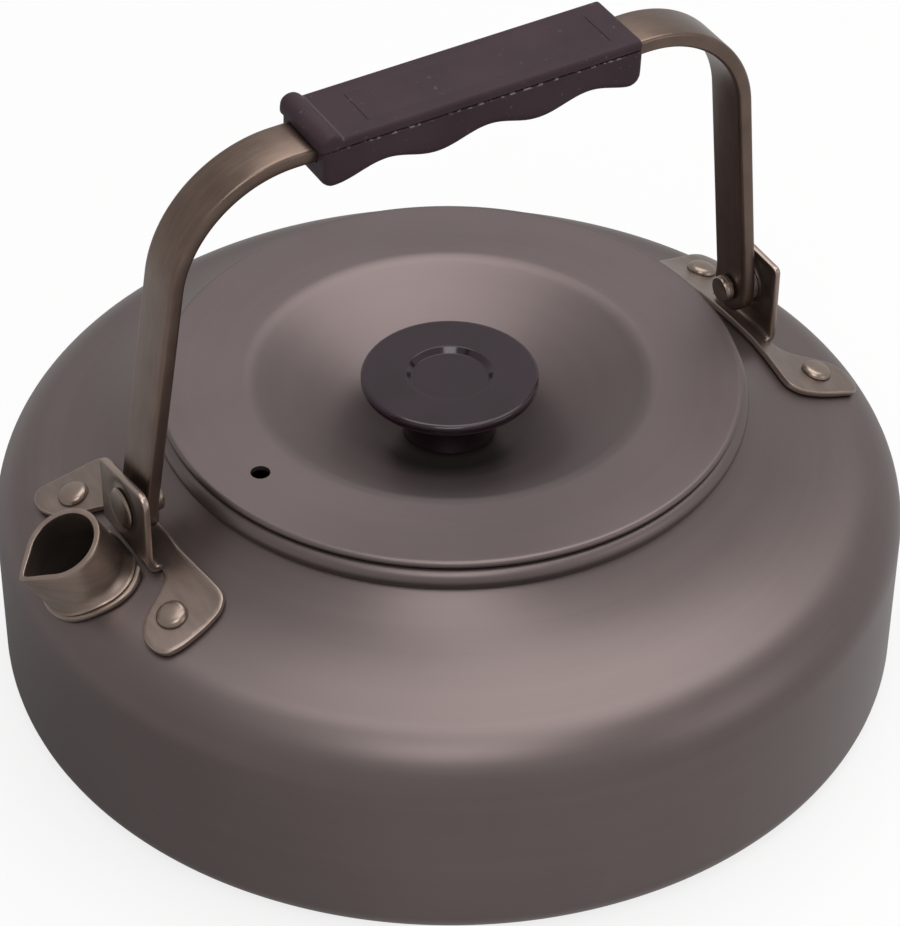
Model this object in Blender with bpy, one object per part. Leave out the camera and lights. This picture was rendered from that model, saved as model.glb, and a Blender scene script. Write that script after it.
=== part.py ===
"""Camping kettle with a spun aluminium body, a sunk lid and a folding bail handle.

The bail swings about the X axis, the spout is on the -X side and the kettle
stands on the plane z = 0 with its turning axis on Z. All sizes are in metres.
"""
import math

import bmesh
import bpy
from mathutils import Matrix, Vector

# Body: flat base, straight wall, round shoulder, a top that sweeps up to a rolled collar
BODY_RADIUS = 0.0900
BODY_WALL = 0.0010
BASE_FILLET = 0.0054
WALL_TOP = 0.0332
SHOULDER_RADIUS = 0.0127
SHOULDER_SLOPE = math.radians(12.0)
NECK_SLOPE = math.radians(41.0)
NECK_RADIUS = 0.0571
COLLAR_RADIUS = 0.0562
COLLAR_HEIGHT = 0.0595
COLLAR_BEAD = 0.00215
COLLAR_NECK = 0.0010

# Lid: hemmed rim, locating skirt and a deep dish that holds the knob
LID_TOP = 0.06345
LID_RADIUS = 0.05715
LID_SHEET = 0.00095
LID_HEM = 0.0015
LID_HEM_INNER = 0.0537
SKIRT_RADIUS = 0.0533
SKIRT_BOTTOM = 0.0578
SKIRT_WALL = 0.0008
DISH_RADIUS = 0.0388
DISH_FLOOR = 0.0500
DISH_SEAT = 0.0105
# Bends of the dish, as (outward, upward) steps from its seat and from its mouth
DISH_FOOT = ((-0.0010, 0.0), (0.0025, 0.0004), (0.0060, 0.0022))
DISH_MOUTH = ((-0.0040, -0.0020), (-0.0007, -0.0005), (0.0008, -0.00005))
VENT_PLACE = (-0.0465, -0.0082)
VENT_RADIUS = 0.0019

# Knob and what holds it
KNOB_RADIUS = 0.0174
KNOB_TOP = 0.0634
KNOB_RIM = 0.0017
KNOB_EDGE = 0.0008
KNOB_NECK = 0.0092
KNOB_UNDERSIDE = 0.0594
KNOB_HOLLOW = 0.0020
RECESS_RADIUS = 0.00845
RECESS_FLOOR_RADIUS = 0.0076
RECESS_DEPTH = 0.0010
INSERT_RADIUS = 0.0035
INSERT_BORE = 0.0019
INSERT_TOP = 0.0580
SCREW_RADIUS = 0.0016
SCREW_HEAD_RADIUS = 0.0038
SCREW_HEAD_HEIGHT = 0.0022
SCREW_CHAMFER = 0.0004
SCREW_TIP = 0.0560
KNOB_WASHER_RADIUS = 0.0055
KNOB_WASHER_HEIGHT = 0.0007

# Spout: a short tube square to the shoulder, pinched to a pouring lip
SPOUT_TILT = math.radians(32.4)
SPOUT_FOOT = (-0.07924, 0.0, 0.04576)
SPOUT_RADIUS = 0.0085
SPOUT_WALL = 0.0012
SPOUT_INSIDE_END = 0.0034
MOUTH_HEIGHT = 0.0118
MOUTH_TILT = math.radians(28.0)
MOUTH_RADIUS = 0.0078
MOUTH_LIP = 0.01055
MOUTH_SET_BACK = 0.00145
FOOT_STRAIGHT = 0.0015
FOOT_FLARE_RADIUS = 0.0099
SPOUT_RING_RADIUS = 0.0108
SPOUT_RING_LAYER = (0.0003, 0.0013)
FOOT_FLARE_LAYER = (0.0016, 0.0024)
INSIDE_FLARE_LAYER = (-0.0022, -0.0013)

# Bail brackets: a leaf riveted to the top and an upright lug with a slanting top. The rear
# one is set further out and is turned end for end. Tops and corners: front end, back end.
LEAF_LAYER = (0.0003, 0.0016)
LEAF_INNER = 0.0647
LEAF_OUTSET = {-1: 0.0, 1: 0.0020}
LUG_INNER = {-1: 0.0701, 1: 0.0708}
LUG_THICKNESS = 0.0013
LUG_HALF_WIDTH = 0.0092
LUG_TOPS = {-1: (0.0680, 0.0652), 1: (0.0674, 0.0686)}
LUG_CORNERS = {-1: (0.0027, 0.0009), 1: (0.0012, 0.0027)}
RIVET_PLACE = (0.0718, 0.0203)
RIVET_SHANK = 0.0015
RIVET_HEAD = 0.0030
RIVET_HEAD_HEIGHT = 0.0013
RIVET_TAIL = 0.0025
RIVET_TAIL_HEIGHT = 0.0009

# Bail: a flat bar on two pivot rivets
PIVOT_HEIGHT = 0.0595
BAIL_LEAN = math.radians(2.97)
BAIL_WIDTH = 0.0100
BAIL_THICKNESS = 0.0031
BAIL_TOP = 0.0729
BAIL_CORNER = 0.0258
BAIL_SPLAY = math.radians(7.3)
BAIL_FOOT = 0.0692
BAIL_FOOT_BELOW = 0.0052
KNEE_HEIGHT = 0.0030
KNEE_RADIUS = 0.0200
BAR_EDGE_RADIUS = 0.0006
BAR_END_HALF_WIDTH = 0.0012
PIVOT_RADIUS = 0.0020
PIVOT_INNER_HEAD = (0.0028, 0.0020)
PIVOT_OUTER_HEAD = (0.0041, 0.0011)
PIVOT_HEAD_EDGE = 0.0004
PIVOT_WASHER_RADIUS = 0.0040

# Grip: two moulded halves closed round the bar
GRIP_LEFT = -0.0332
GRIP_RIGHT = 0.0341
GRIP_HALF_WIDTH = 0.0078
GRIP_TOP = 0.0754
GRIP_PARTING = 0.07335
GRIP_BOTTOM = 0.0658
GROOVE_DEPTH = 0.0011
GROOVE_PITCH = 0.0216
GROOVE_START = -0.0093
GRIP_END_ROUND = 0.0020
GRIP_CORNER = 0.0022
GRIP_EDGE = 0.0007
RIDGE_REACH = 0.0008
RIDGE_CREST = 0.0023
RIDGE_LENGTH = 0.0046
RIDGE_RISE = 0.0013

GAP = 0.0003
DOME_EDGE = 0.0003
BODY_STEPS = 64
SMALL_STEPS = 24
HOLE_STEPS = 16

# Reach of the cutting tools past what they cut
SHEET_SPAN = 0.004
SPOUT_SPAN = 0.010
PLAN_SPAN = (0.030, 0.070)
BLOCK_HALF_WIDTH = 0.020


def clear_scene():
    for obj in list(bpy.data.objects):
        bpy.data.objects.remove(obj, do_unlink=True)


def material(name, colour, metallic, roughness):
    made = bpy.data.materials.new(name)
    made.use_nodes = True
    shader = made.node_tree.nodes["Principled BSDF"]
    shader.inputs["Base Color"].default_value = (*colour, 1.0)
    shader.inputs["Metallic"].default_value = metallic
    shader.inputs["Roughness"].default_value = roughness
    return made


def add_object(name, mesh, finish=None):
    if finish:
        mesh.materials.append(finish)
    obj = bpy.data.objects.new(name, mesh)
    bpy.context.collection.objects.link(obj)
    return obj


def finish_mesh(name, bm, finish=None):
    """Turn a bmesh into an object with outward faces and smooth round sides."""
    bmesh.ops.recalc_face_normals(bm, faces=bm.faces)
    mesh = bpy.data.meshes.new(name)
    bm.to_mesh(mesh)
    bm.free()
    mesh.shade_smooth()
    mesh.set_sharp_from_angle(angle=math.radians(35))
    return add_object(name, mesh, finish)


def turned(name, profile, steps, finish=None, closed=True):
    """Turn a profile of (radius, height) points about Z with a Screw modifier."""
    mesh = bpy.data.meshes.new(name)
    count = len(profile)
    edges = [(i, i + 1) for i in range(count - 1)]
    if closed:
        edges.append((count - 1, 0))
    mesh.from_pydata([(r, 0.0, z) for r, z in profile], edges, [])
    obj = add_object(name, mesh, finish)
    screw = obj.modifiers.new("turn", "SCREW")
    screw.steps = steps
    screw.render_steps = steps
    screw.use_merge_vertices = True
    screw.merge_threshold = 0.00002
    screw.use_smooth_shade = True
    return obj


def hide_tool(obj):
    obj.hide_render = True
    obj.display_type = "WIRE"
    return obj


def boolean(target, tool, operation="DIFFERENCE"):
    """Cut, join or trim a target by a tool object that the build leaves out."""
    modifier = target.modifiers.new(operation.lower(), "BOOLEAN")
    modifier.operation = operation
    modifier.object = hide_tool(tool)
    modifier.solver = "EXACT"


def extruded(name, outline, low, high, finish=None):
    """A prism along Z from a closed outline of (x, y) points."""
    bm = bmesh.new()
    verts = [bm.verts.new((x, y, low)) for x, y in outline]
    face = bm.faces.new(verts)
    raised = bmesh.ops.extrude_face_region(bm, geom=[face])
    top = [item for item in raised["geom"] if isinstance(item, bmesh.types.BMVert)]
    bmesh.ops.translate(bm, verts=top, vec=(0.0, 0.0, high - low))
    return finish_mesh(name, bm, finish)


def cylinder(name, radius, low, high, matrix, steps=SMALL_STEPS):
    """A cylinder along the local Z of a matrix, from low to high."""
    profile = [(0.0, high), (radius, high), (radius, low), (0.0, low)]
    obj = turned(name, profile, steps, closed=False)
    obj.matrix_world = matrix
    return obj


def arc(centre, radius, start, end, count):
    """Points of an arc as (radius, height) pairs, angles in degrees."""
    points = []
    for i in range(count + 1):
        angle = math.radians(start + (end - start) * i / count)
        across = radius * math.cos(angle)
        points.append((centre[0] + across, centre[1] + radius * math.sin(angle)))
    return points


def dome(radius, base, height, angles):
    """Profile of a low domed head from its middle to its edge, above a base height."""
    points = []
    for angle in angles:
        rise = DOME_EDGE + (height - DOME_EDGE) * math.sin(math.radians(angle))
        points.append((max(radius * math.cos(math.radians(angle)), 0.0), base + rise))
    return points


def top_edge():
    """Radius and height where the shoulder's arc runs into the sloping top."""
    radius = BODY_RADIUS - SHOULDER_RADIUS + SHOULDER_RADIUS * math.sin(SHOULDER_SLOPE)
    return radius, WALL_TOP + SHOULDER_RADIUS * math.cos(SHOULDER_SLOPE)


def top_slope(radius):
    """Slope of the top, which steepens evenly from the shoulder to the neck."""
    edge = top_edge()[0]
    share = (edge - radius) / (edge - NECK_RADIUS)
    return SHOULDER_SLOPE + (NECK_SLOPE - SHOULDER_SLOPE) * share


def top_height(radius):
    """Height of the top's outer face: the even slope change integrated over the radius."""
    edge, height = top_edge()
    rate = (NECK_SLOPE - SHOULDER_SLOPE) / (edge - NECK_RADIUS)
    return height + math.log(math.cos(SHOULDER_SLOPE) / math.cos(top_slope(radius))) / rate


def shoulder_curve(offset, top_radius=NECK_RADIUS, bottom=WALL_TOP - SHEET_SPAN):
    """The top, shoulder and upper wall, moved outward by offset, from top to bottom."""
    points = []
    steps = 6
    edge = top_edge()[0]
    for i in range(steps):
        radius = top_radius + (edge - top_radius) * i / steps
        slope = top_slope(radius)
        height = top_height(radius) + offset * math.cos(slope)
        points.append((radius + offset * math.sin(slope), height))
    centre = (BODY_RADIUS - SHOULDER_RADIUS, WALL_TOP)
    start = 90.0 - math.degrees(SHOULDER_SLOPE)
    points += arc(centre, SHOULDER_RADIUS + offset, start, 0.0, 7)
    points.append((BODY_RADIUS + offset, bottom))
    return points


def shell_layer(name, layer, top_radius=0.060):
    """A turned layer that lies over (or under) the sloping top and shoulder."""
    low, high = layer
    profile = shoulder_curve(high, top_radius) + shoulder_curve(low, top_radius)[::-1]
    return turned(name, profile, BODY_STEPS)


def spout_matrix():
    """Local Z along the spout's axis, local X outward, origin on the body's face."""
    axis = Vector((-math.sin(SPOUT_TILT), 0.0, math.cos(SPOUT_TILT)))
    side = Vector((0.0, -1.0, 0.0))
    outward = side.cross(axis)
    turn = Matrix((outward, side, axis)).transposed().to_4x4()
    return Matrix.Translation(SPOUT_FOOT) @ turn


def rivet_matrix(sx, sy):
    """Local Z square to the top at a bracket rivet, origin on the top."""
    x = (RIVET_PLACE[0] + LEAF_OUTSET[sx]) * sx
    y = RIVET_PLACE[1] * sy
    radius = math.hypot(x, y)
    tilt = Matrix.Rotation(top_slope(radius), 4, "Y")
    turn = Matrix.Rotation(math.atan2(y, x), 4, "Z")
    return Matrix.Translation((x, y, top_height(radius))) @ turn @ tilt


def rivet_corners():
    """Signs of x and y of the four bracket rivets."""
    return [(-1, -1), (-1, 1), (1, -1), (1, 1)]


def rivet_hole(name, sx, sy):
    """A tool for a bracket rivet's hole."""
    name = f"{name}_rivet_tool_{sx}_{sy}"
    radius = RIVET_SHANK + GAP
    return cylinder(name, radius, -SHEET_SPAN, SHEET_SPAN, rivet_matrix(sx, sy), HOLE_STEPS)


def spout_cylinder(name, radius):
    """A tool along the spout's axis, through the shell."""
    return cylinder(name, radius, -SPOUT_SPAN, SPOUT_SPAN, spout_matrix(), 40)


def kettle_body(finish):
    """One spun shell, from the middle of its base inside to the middle outside."""
    fillet = (BODY_RADIUS - BASE_FILLET, BASE_FILLET)
    middle = WALL_TOP / 2
    inner = [(0.0, BODY_WALL)]
    inner += arc(fillet, BASE_FILLET - BODY_WALL, -90, 0, 4)
    inner += shoulder_curve(-BODY_WALL, bottom=middle)[::-1]
    neck = COLLAR_NECK / 2 - COLLAR_BEAD
    inner.append((COLLAR_RADIUS + neck, COLLAR_HEIGHT + neck))
    outer = arc((COLLAR_RADIUS, COLLAR_HEIGHT), COLLAR_BEAD, 180, -73, 11)
    outer += shoulder_curve(0.0, bottom=middle)
    outer += arc(fillet, BASE_FILLET, 0, -90, 5)
    outer.append((0.0, 0.0))
    body = turned("kettle_body", inner + outer, BODY_STEPS, finish, closed=False)
    boolean(body, spout_cylinder("spout_hole_tool", SPOUT_RADIUS + GAP))
    for sx, sy in rivet_corners():
        boolean(body, rivet_hole("body", sx, sy))
    return body


def lip_radius(angle):
    """Outer radius of the pinched mouth at an angle from the pouring side."""
    reach = math.acos(MOUTH_RADIUS / MOUTH_LIP)
    turn = abs((angle + math.pi) % (2 * math.pi) - math.pi)
    if turn >= reach:
        return MOUTH_RADIUS
    return MOUTH_RADIUS / math.cos(turn - reach)


def spout_rings(wall, steps):
    """Rings of the tube from its inner end to its mouth, moved inward by wall."""
    rings = []
    lift = math.tan(SPOUT_TILT - MOUTH_TILT)
    for level in range(7):
        share = max(0.0, (level - 1) / 5)
        blend = share * share * (3 - 2 * share)
        ring = []
        for i in range(steps):
            angle = 2 * math.pi * i / steps
            reach = SPOUT_RADIUS + (lip_radius(angle) - SPOUT_RADIUS) * blend - wall
            x = reach * math.cos(angle) - MOUTH_SET_BACK * blend
            rise = MOUTH_HEIGHT + x * lift - FOOT_STRAIGHT
            z = -SPOUT_INSIDE_END if level == 0 else FOOT_STRAIGHT + rise * share
            ring.append((x, reach * math.sin(angle), z))
        rings.append(ring)
    return rings


def joined(name, loops, closed, finish):
    """A solid through like rings of points: a closed tube, or one capped at both ends."""
    bm = bmesh.new()
    rings = [[bm.verts.new(point) for point in ring] for ring in loops]
    following = rings[1:] + rings[:1] if closed else rings[1:]
    for a, b in zip(rings, following):
        for i in range(len(a)):
            j = (i + 1) % len(a)
            bm.faces.new((a[i], a[j], b[j], b[i]))
    if not closed:
        bm.faces.new(rings[0])
        bm.faces.new(rings[-1])
    return finish_mesh(name, bm, finish)


def spout_tube(finish):
    """The tube with its foot spread against the shell on both sides."""
    steps = 40
    rings = spout_rings(0.0, steps) + spout_rings(SPOUT_WALL, steps)[::-1]
    tube = joined("spout_tube", rings, True, finish)
    tube.matrix_world = spout_matrix()
    for name, layer, radius in (
        ("spout_flare", FOOT_FLARE_LAYER, FOOT_FLARE_RADIUS),
        ("spout_inside_flare", INSIDE_FLARE_LAYER, FOOT_FLARE_RADIUS),
    ):
        flare = shell_layer(name + "_tool", layer)
        boolean(flare, spout_cylinder(name + "_trim_tool", radius), "INTERSECT")
        boolean(flare, spout_cylinder(name + "_bore_tool", SPOUT_RADIUS - SPOUT_WALL / 2))
        boolean(tube, flare, "UNION")
    boolean(tube, lug_side_tool("tube_side_tool"))
    return tube


def lug_side_tool(name):
    """A block that trims what would touch the spout bracket's lug."""
    edge = -(LUG_INNER[-1] + LUG_THICKNESS + GAP)
    half = BLOCK_HALF_WIDTH
    return extruded(name, [(edge, -half), (0.0, -half), (0.0, half), (edge, half)], *PLAN_SPAN)


def spout_ring(finish):
    """The thin ring that lies on the shell round the tube's foot."""
    ring = shell_layer("spout_ring", SPOUT_RING_LAYER)
    ring.data.materials.append(finish)
    boolean(ring, spout_cylinder("ring_trim_tool", SPOUT_RING_RADIUS), "INTERSECT")
    boolean(ring, spout_cylinder("ring_bore_tool", SPOUT_RADIUS + GAP))
    boolean(ring, lug_side_tool("ring_side_tool"))
    return ring


def leaf_outline(sign):
    """Plan of a bracket leaf: two lobes, a waist and the lug's root between them."""
    half = [
        (0.0690, 0.0100),
        (0.0692, 0.0118),
        (0.0702, 0.0130),
        (0.0742, 0.0156),
        (0.0770, 0.0179),
        (0.0786, 0.0212),
        (0.0785, 0.0245),
        (0.0770, 0.0271),
        (0.0745, 0.0276),
        (0.0678, 0.0266),
        (0.0650, 0.0257),
        (0.0634, 0.0240),
        (0.0633, 0.0208),
        (LEAF_INNER, 0.0090),
    ]
    points = [((x + LEAF_OUTSET[sign]) * sign, y) for x, y in half]
    root = ((LUG_INNER[sign] + LUG_THICKNESS) * sign, LUG_HALF_WIDTH)
    points.insert(0, root)
    points += [(x, -y) for x, y in reversed(points)]
    return points


def lug_face(sign, root):
    """Outline of an upright lug as (y, z) points, from its root to its slanting top."""
    half = LUG_HALF_WIDTH
    low, high = LUG_TOPS[sign]
    front, back = LUG_CORNERS[sign]
    rounded = arc((half - back, high - back), back, 0, 90, 4)
    rounded += arc((front - half, high - front), front, 90, 180, 4)
    face = [(-half, root), (half, root)]
    for y, z in rounded:
        face.append((y, z + (low - high) * (half - y) / (2 * half)))
    return face


def bracket(name, sign, finish):
    """A leaf shaped to the top, with holes for its rivets and an upright lug."""
    leaf = shell_layer(name, LEAF_LAYER)
    leaf.data.materials.append(finish)
    plan = extruded(name + "_plan_tool", leaf_outline(sign), *PLAN_SPAN)
    boolean(leaf, plan, "INTERSECT")
    inner = LUG_INNER[sign]
    face = lug_face(sign, top_height(inner) + LEAF_LAYER[0] + GAP)
    lug = extruded(name + "_lug_tool", face, inner * sign, (inner + LUG_THICKNESS) * sign)
    lug.data.transform(Matrix(((0, 0, 1, 0), (1, 0, 0, 0), (0, 1, 0, 0), (0, 0, 0, 1))))
    boolean(leaf, lug, "UNION")
    boolean(leaf, pivot_cylinder(name + "_pivot_tool", PIVOT_RADIUS + GAP, sign))
    for sy in (-1, 1):
        boolean(leaf, rivet_hole(name, sign, sy))
    return leaf


def bracket_rivet(name, sx, sy, finish):
    """A domed rivet through leaf and wall, with its flattened tail inside the body."""
    top = LEAF_LAYER[1] + GAP
    below = -BODY_WALL - GAP
    profile = dome(RIVET_HEAD, top, RIVET_HEAD_HEIGHT, (90, 65, 45, 25, 8)) + [
        (RIVET_HEAD, top),
        (RIVET_SHANK, top),
        (RIVET_SHANK, below),
        (RIVET_TAIL, below),
        (RIVET_TAIL * 0.8, below - RIVET_TAIL_HEIGHT),
        (0.0, below - RIVET_TAIL_HEIGHT),
    ]
    rivet = turned(name, profile, SMALL_STEPS, finish, closed=False)
    rivet.matrix_world = rivet_matrix(sx, sy)
    return rivet


def pivot_matrix(sign):
    """Local Z outward along the bail's pivot axis on one side."""
    turn = Matrix.Rotation(math.radians(90 * sign), 4, "Y")
    return Matrix.Translation((0.0, 0.0, PIVOT_HEIGHT)) @ turn


def pivot_cylinder(name, radius, sign):
    """A tool along the pivot axis, through one foot of the bail and its lug."""
    low, high = LUG_INNER[sign] - 2 * SHEET_SPAN, LUG_INNER[sign] + SHEET_SPAN
    return cylinder(name, radius, low, high, pivot_matrix(sign))


def pivot_rivet(name, sign, finish):
    """The rivet that carries one end of the bail, from inner head to outer head."""
    inner_radius, inner_height = PIVOT_INNER_HEAD
    outer_radius, outer_height = PIVOT_OUTER_HEAD
    inner_face = BAIL_FOOT - BAIL_THICKNESS - GAP
    outer_face = LUG_INNER[sign] + LUG_THICKNESS + GAP
    profile = dome(outer_radius, outer_face, outer_height, (90, 62, 38, 15)) + [
        (outer_radius, outer_face),
        (PIVOT_RADIUS, outer_face),
        (PIVOT_RADIUS, inner_face),
        (inner_radius, inner_face),
        (inner_radius, inner_face - inner_height + PIVOT_HEAD_EDGE),
        (inner_radius - PIVOT_HEAD_EDGE, inner_face - inner_height),
        (0.0, inner_face - inner_height),
    ]
    rivet = turned(name, profile, SMALL_STEPS, finish, closed=False)
    rivet.matrix_world = pivot_matrix(sign)
    return rivet


def pivot_washer(name, sign, finish):
    """The spacer that keeps the bar off the lug."""
    low, high = BAIL_FOOT + GAP, LUG_INNER[sign] - GAP
    bore = PIVOT_RADIUS + GAP
    rim = PIVOT_WASHER_RADIUS
    profile = [(bore, high), (rim, high), (rim, low), (bore, low)]
    washer = turned(name, profile, SMALL_STEPS, finish)
    washer.matrix_world = pivot_matrix(sign)
    return washer


def bent(centre, radius, start, end, count):
    """Places and outward normals round a bend, angles in radians."""
    path = []
    for i in range(count + 1):
        angle = start + (end - start) * i / count
        normal = Vector((math.cos(angle), math.sin(angle)))
        path.append((centre + normal * radius, normal))
    return path


def bail_half_path():
    """Mid-line of the bar from the top's middle to one foot: (x, z) and outward normal."""
    half = BAIL_THICKNESS / 2
    splay = BAIL_SPLAY
    knee = Vector((BAIL_FOOT, KNEE_HEIGHT))
    rise = (BAIL_TOP - BAIL_CORNER - knee.y) * math.sin(splay)
    corner_x = knee.x - (BAIL_CORNER + rise) / math.cos(splay)
    centre = Vector((corner_x, BAIL_TOP - BAIL_CORNER))
    path = [(Vector((0.0, BAIL_TOP - half)), Vector((0.0, 1.0)))]
    path += bent(centre, BAIL_CORNER - half, math.pi / 2, splay, 12)
    knee_centre = knee - Vector((KNEE_RADIUS, KNEE_RADIUS * math.tan(splay / 2)))
    path += bent(knee_centre, KNEE_RADIUS - half, splay, 0.0, 3)
    end = -BAIL_FOOT_BELOW
    start = path[-1][0].y
    for share in (0.35, 0.55, 0.72, 0.86, 0.95, 1.0):
        place = Vector((BAIL_FOOT - half, start + (end - start) * share))
        path.append((place, Vector((1.0, 0.0))))
    return path


def bar_half_width(height):
    """Half width of the bar, which is rounded at its feet."""
    round_from = -BAIL_FOOT_BELOW + BAIL_WIDTH / 2
    if height >= round_from:
        return BAIL_WIDTH / 2
    across = min(round_from - height, BAIL_WIDTH / 2)
    return max(math.sqrt((BAIL_WIDTH / 2) ** 2 - across ** 2), BAR_END_HALF_WIDTH)


def bar_section(centre, normal, half_width):
    """Rounded rectangle of the bar at one place of its path."""
    points = []
    edge = BAR_EDGE_RADIUS
    for su, sv, start in ((1, 1, 0), (-1, 1, 90), (-1, -1, 180), (1, -1, 270)):
        for turn in (0, 45, 90):
            angle = math.radians(start + turn)
            u = su * (BAIL_THICKNESS / 2 - edge) + edge * math.cos(angle)
            v = sv * (half_width - edge) + edge * math.sin(angle)
            points.append((centre.x + normal.x * u, v, centre.y + normal.y * u))
    return points


def bail_bar(finish, hinge):
    """The bent flat bar, with a pivot hole in each rounded foot."""
    right = bail_half_path()
    left = [(Vector((-c.x, c.y)), Vector((-n.x, n.y))) for c, n in reversed(right)]
    sections = [bar_section(c, n, bar_half_width(c.y)) for c, n in left[:-1] + right]
    bar = joined("bail_bar", sections, False, finish)
    bar.parent = hinge
    for sign, side in ((-1, "left"), (1, "right")):
        boolean(bar, pivot_cylinder(f"bar_hole_tool_{side}", PIVOT_RADIUS + GAP, sign))
    return bar


def grip_bottom(x):
    """Height of the finger-grooved underside along the grip."""
    wave = math.cos(2 * math.pi * (x - GROOVE_START) / GROOVE_PITCH)
    return GRIP_BOTTOM - GROOVE_DEPTH * wave


def end_draw(x, low, high, radius):
    """How far a round edge has drawn in at x, near either end of a length."""
    reach = max(radius - min(x - low, high - x), 0.0)
    return radius - math.sqrt(max(radius ** 2 - reach ** 2, 0.0))


def grip_stations(start, radius, count):
    """Places along the grip, closer together where its ends are rounded."""
    ends = [start + radius * share for share in (0.0, 0.06, 0.3, 0.6)]
    step = (GRIP_RIGHT - start - 2 * radius) / count
    middle = [start + radius + step * i for i in range(count + 1)]
    return ends + middle + [GRIP_RIGHT - (end - start) for end in reversed(ends)]


def mirrored(half, inside):
    """A section from the outer and the channel points of its +y half."""
    points = half + [(-y, z) for y, z in reversed(half)]
    return points + [(-y, z) for y, z in reversed(inside)] + inside


def grip_lower_section(x):
    """Finger side of the grip: a tray with a channel for the bar."""
    wide = GRIP_HALF_WIDTH - end_draw(x, GRIP_LEFT, GRIP_RIGHT, GRIP_EDGE)
    low = grip_bottom(x) + end_draw(x, GRIP_LEFT, GRIP_RIGHT, GRIP_END_ROUND)
    top = GRIP_PARTING - GAP / 2
    half = [(wide, top)]
    half += arc((wide - GRIP_CORNER, low + GRIP_CORNER), GRIP_CORNER, 0, -90, 4)
    channel = BAIL_WIDTH / 2 + GAP
    inside = [(channel, BAIL_TOP - BAIL_THICKNESS - GAP), (channel, top)]
    return [(x, y, z) for y, z in mirrored(half, inside)]


def grip_lower(finish, hinge):
    places = grip_stations(GRIP_LEFT, GRIP_END_ROUND, 38)
    grip = joined("grip_lower_half", [grip_lower_section(x) for x in places], False, finish)
    grip.parent = hinge
    return grip


def ridge_rise(x):
    """Rise of the rounded ridge at the spout end over the grip's flat top."""
    start = GRIP_LEFT - RIDGE_REACH
    along = (x - start) / RIDGE_CREST
    if along <= 1.0:
        return RIDGE_RISE - RIDGE_CREST * (1 - math.sqrt(max(1 - (1 - along) ** 2, 0.0)))
    along = (x - start - RIDGE_CREST) / (RIDGE_LENGTH - RIDGE_CREST)
    return RIDGE_RISE * max(1 - along * along, 0.0)


def grip_upper_section(x):
    """Palm side of the grip: a flat cap over the bar, with the ridge at one end."""
    start = GRIP_LEFT - RIDGE_REACH
    drawn = end_draw(x, start, GRIP_RIGHT, GRIP_EDGE)
    wide = GRIP_HALF_WIDTH - drawn
    top = GRIP_TOP + ridge_rise(x)
    if x > 0.0:
        top -= drawn
    half = [(wide, GRIP_PARTING + GAP / 2)]
    half += arc((wide - GRIP_EDGE, top - GRIP_EDGE), GRIP_EDGE, 0, 90, 3)
    return [(x, y, z) for y, z in mirrored(half, [])]


def grip_upper(finish, hinge):
    start = GRIP_LEFT - RIDGE_REACH
    shares = (0.0, 0.02, 0.08, 0.18, 0.32, 0.5, 0.66, 0.82, 0.94, 1.0)
    ridge = [start + RIDGE_LENGTH * share for share in shares]
    places = ridge + [GRIP_RIGHT - GRIP_EDGE * share for share in (1.0, 0.6, 0.3, 0.06, 0.0)]
    grip = joined("grip_upper_half", [grip_upper_section(x) for x in places], False, finish)
    grip.parent = hinge
    return grip


def dish_points(offset):
    """Dish from its floor to the lid's flat rim, moved down by offset."""
    slope = math.atan2(LID_TOP - DISH_FLOOR, DISH_RADIUS - DISH_SEAT)
    points = [(DISH_SEAT + out, DISH_FLOOR + up) for out, up in DISH_FOOT]
    points += [(DISH_RADIUS + out, LID_TOP + up) for out, up in DISH_MOUTH]
    return [(r + offset * math.sin(slope) / 2, z - offset) for r, z in points]


def lid_shell(finish):
    """The lid's sheet with its dish, hemmed rim and skirt, and the vent hole."""
    bore = SCREW_RADIUS + GAP
    under = LID_TOP - LID_HEM
    top = [(bore, DISH_FLOOR)] + dish_points(0.0)
    rim = arc((LID_RADIUS - LID_HEM / 2, LID_TOP - LID_HEM / 2), LID_HEM / 2, 90, -90, 6)
    hem = [(LID_HEM_INNER, under)]
    skirt = [
        (SKIRT_RADIUS, under - GAP),
        (SKIRT_RADIUS, SKIRT_BOTTOM),
        (SKIRT_RADIUS - SKIRT_WALL, SKIRT_BOTTOM),
        (SKIRT_RADIUS - SKIRT_WALL, LID_TOP - LID_SHEET),
    ]
    underside = dish_points(LID_SHEET)[::-1] + [(bore, DISH_FLOOR - LID_SHEET)]
    lid = turned("lid_shell", top + rim + hem + skirt + underside, BODY_STEPS, finish)
    place = Matrix.Translation((*VENT_PLACE, LID_TOP))
    boolean(lid, cylinder("vent_tool", VENT_RADIUS, -SHEET_SPAN, SHEET_SPAN, place))
    return lid


def lid_knob(finish):
    """A moulded mushroom with a shallow recess on top, hollow in its neck."""
    floor = DISH_FLOOR + GAP
    ceiling = INSERT_TOP + GAP
    hollow = INSERT_RADIUS + GAP
    rim = KNOB_RADIUS - KNOB_EDGE
    profile = [(0.0, KNOB_TOP - RECESS_DEPTH), (RECESS_FLOOR_RADIUS, KNOB_TOP - RECESS_DEPTH)]
    profile.append((RECESS_RADIUS, KNOB_TOP))
    profile += arc((rim, KNOB_TOP - KNOB_EDGE), KNOB_EDGE, 90, 0, 3)
    profile += arc((rim, KNOB_TOP - KNOB_RIM + KNOB_EDGE), KNOB_EDGE, 0, -90, 3)
    profile += arc((KNOB_NECK + KNOB_HOLLOW, KNOB_UNDERSIDE - KNOB_HOLLOW), KNOB_HOLLOW, 90, 180, 4)
    profile += [(KNOB_NECK, floor), (hollow, floor), (hollow, ceiling), (0.0, ceiling)]
    return turned("lid_knob", profile, 2 * SMALL_STEPS, finish, closed=False)


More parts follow.
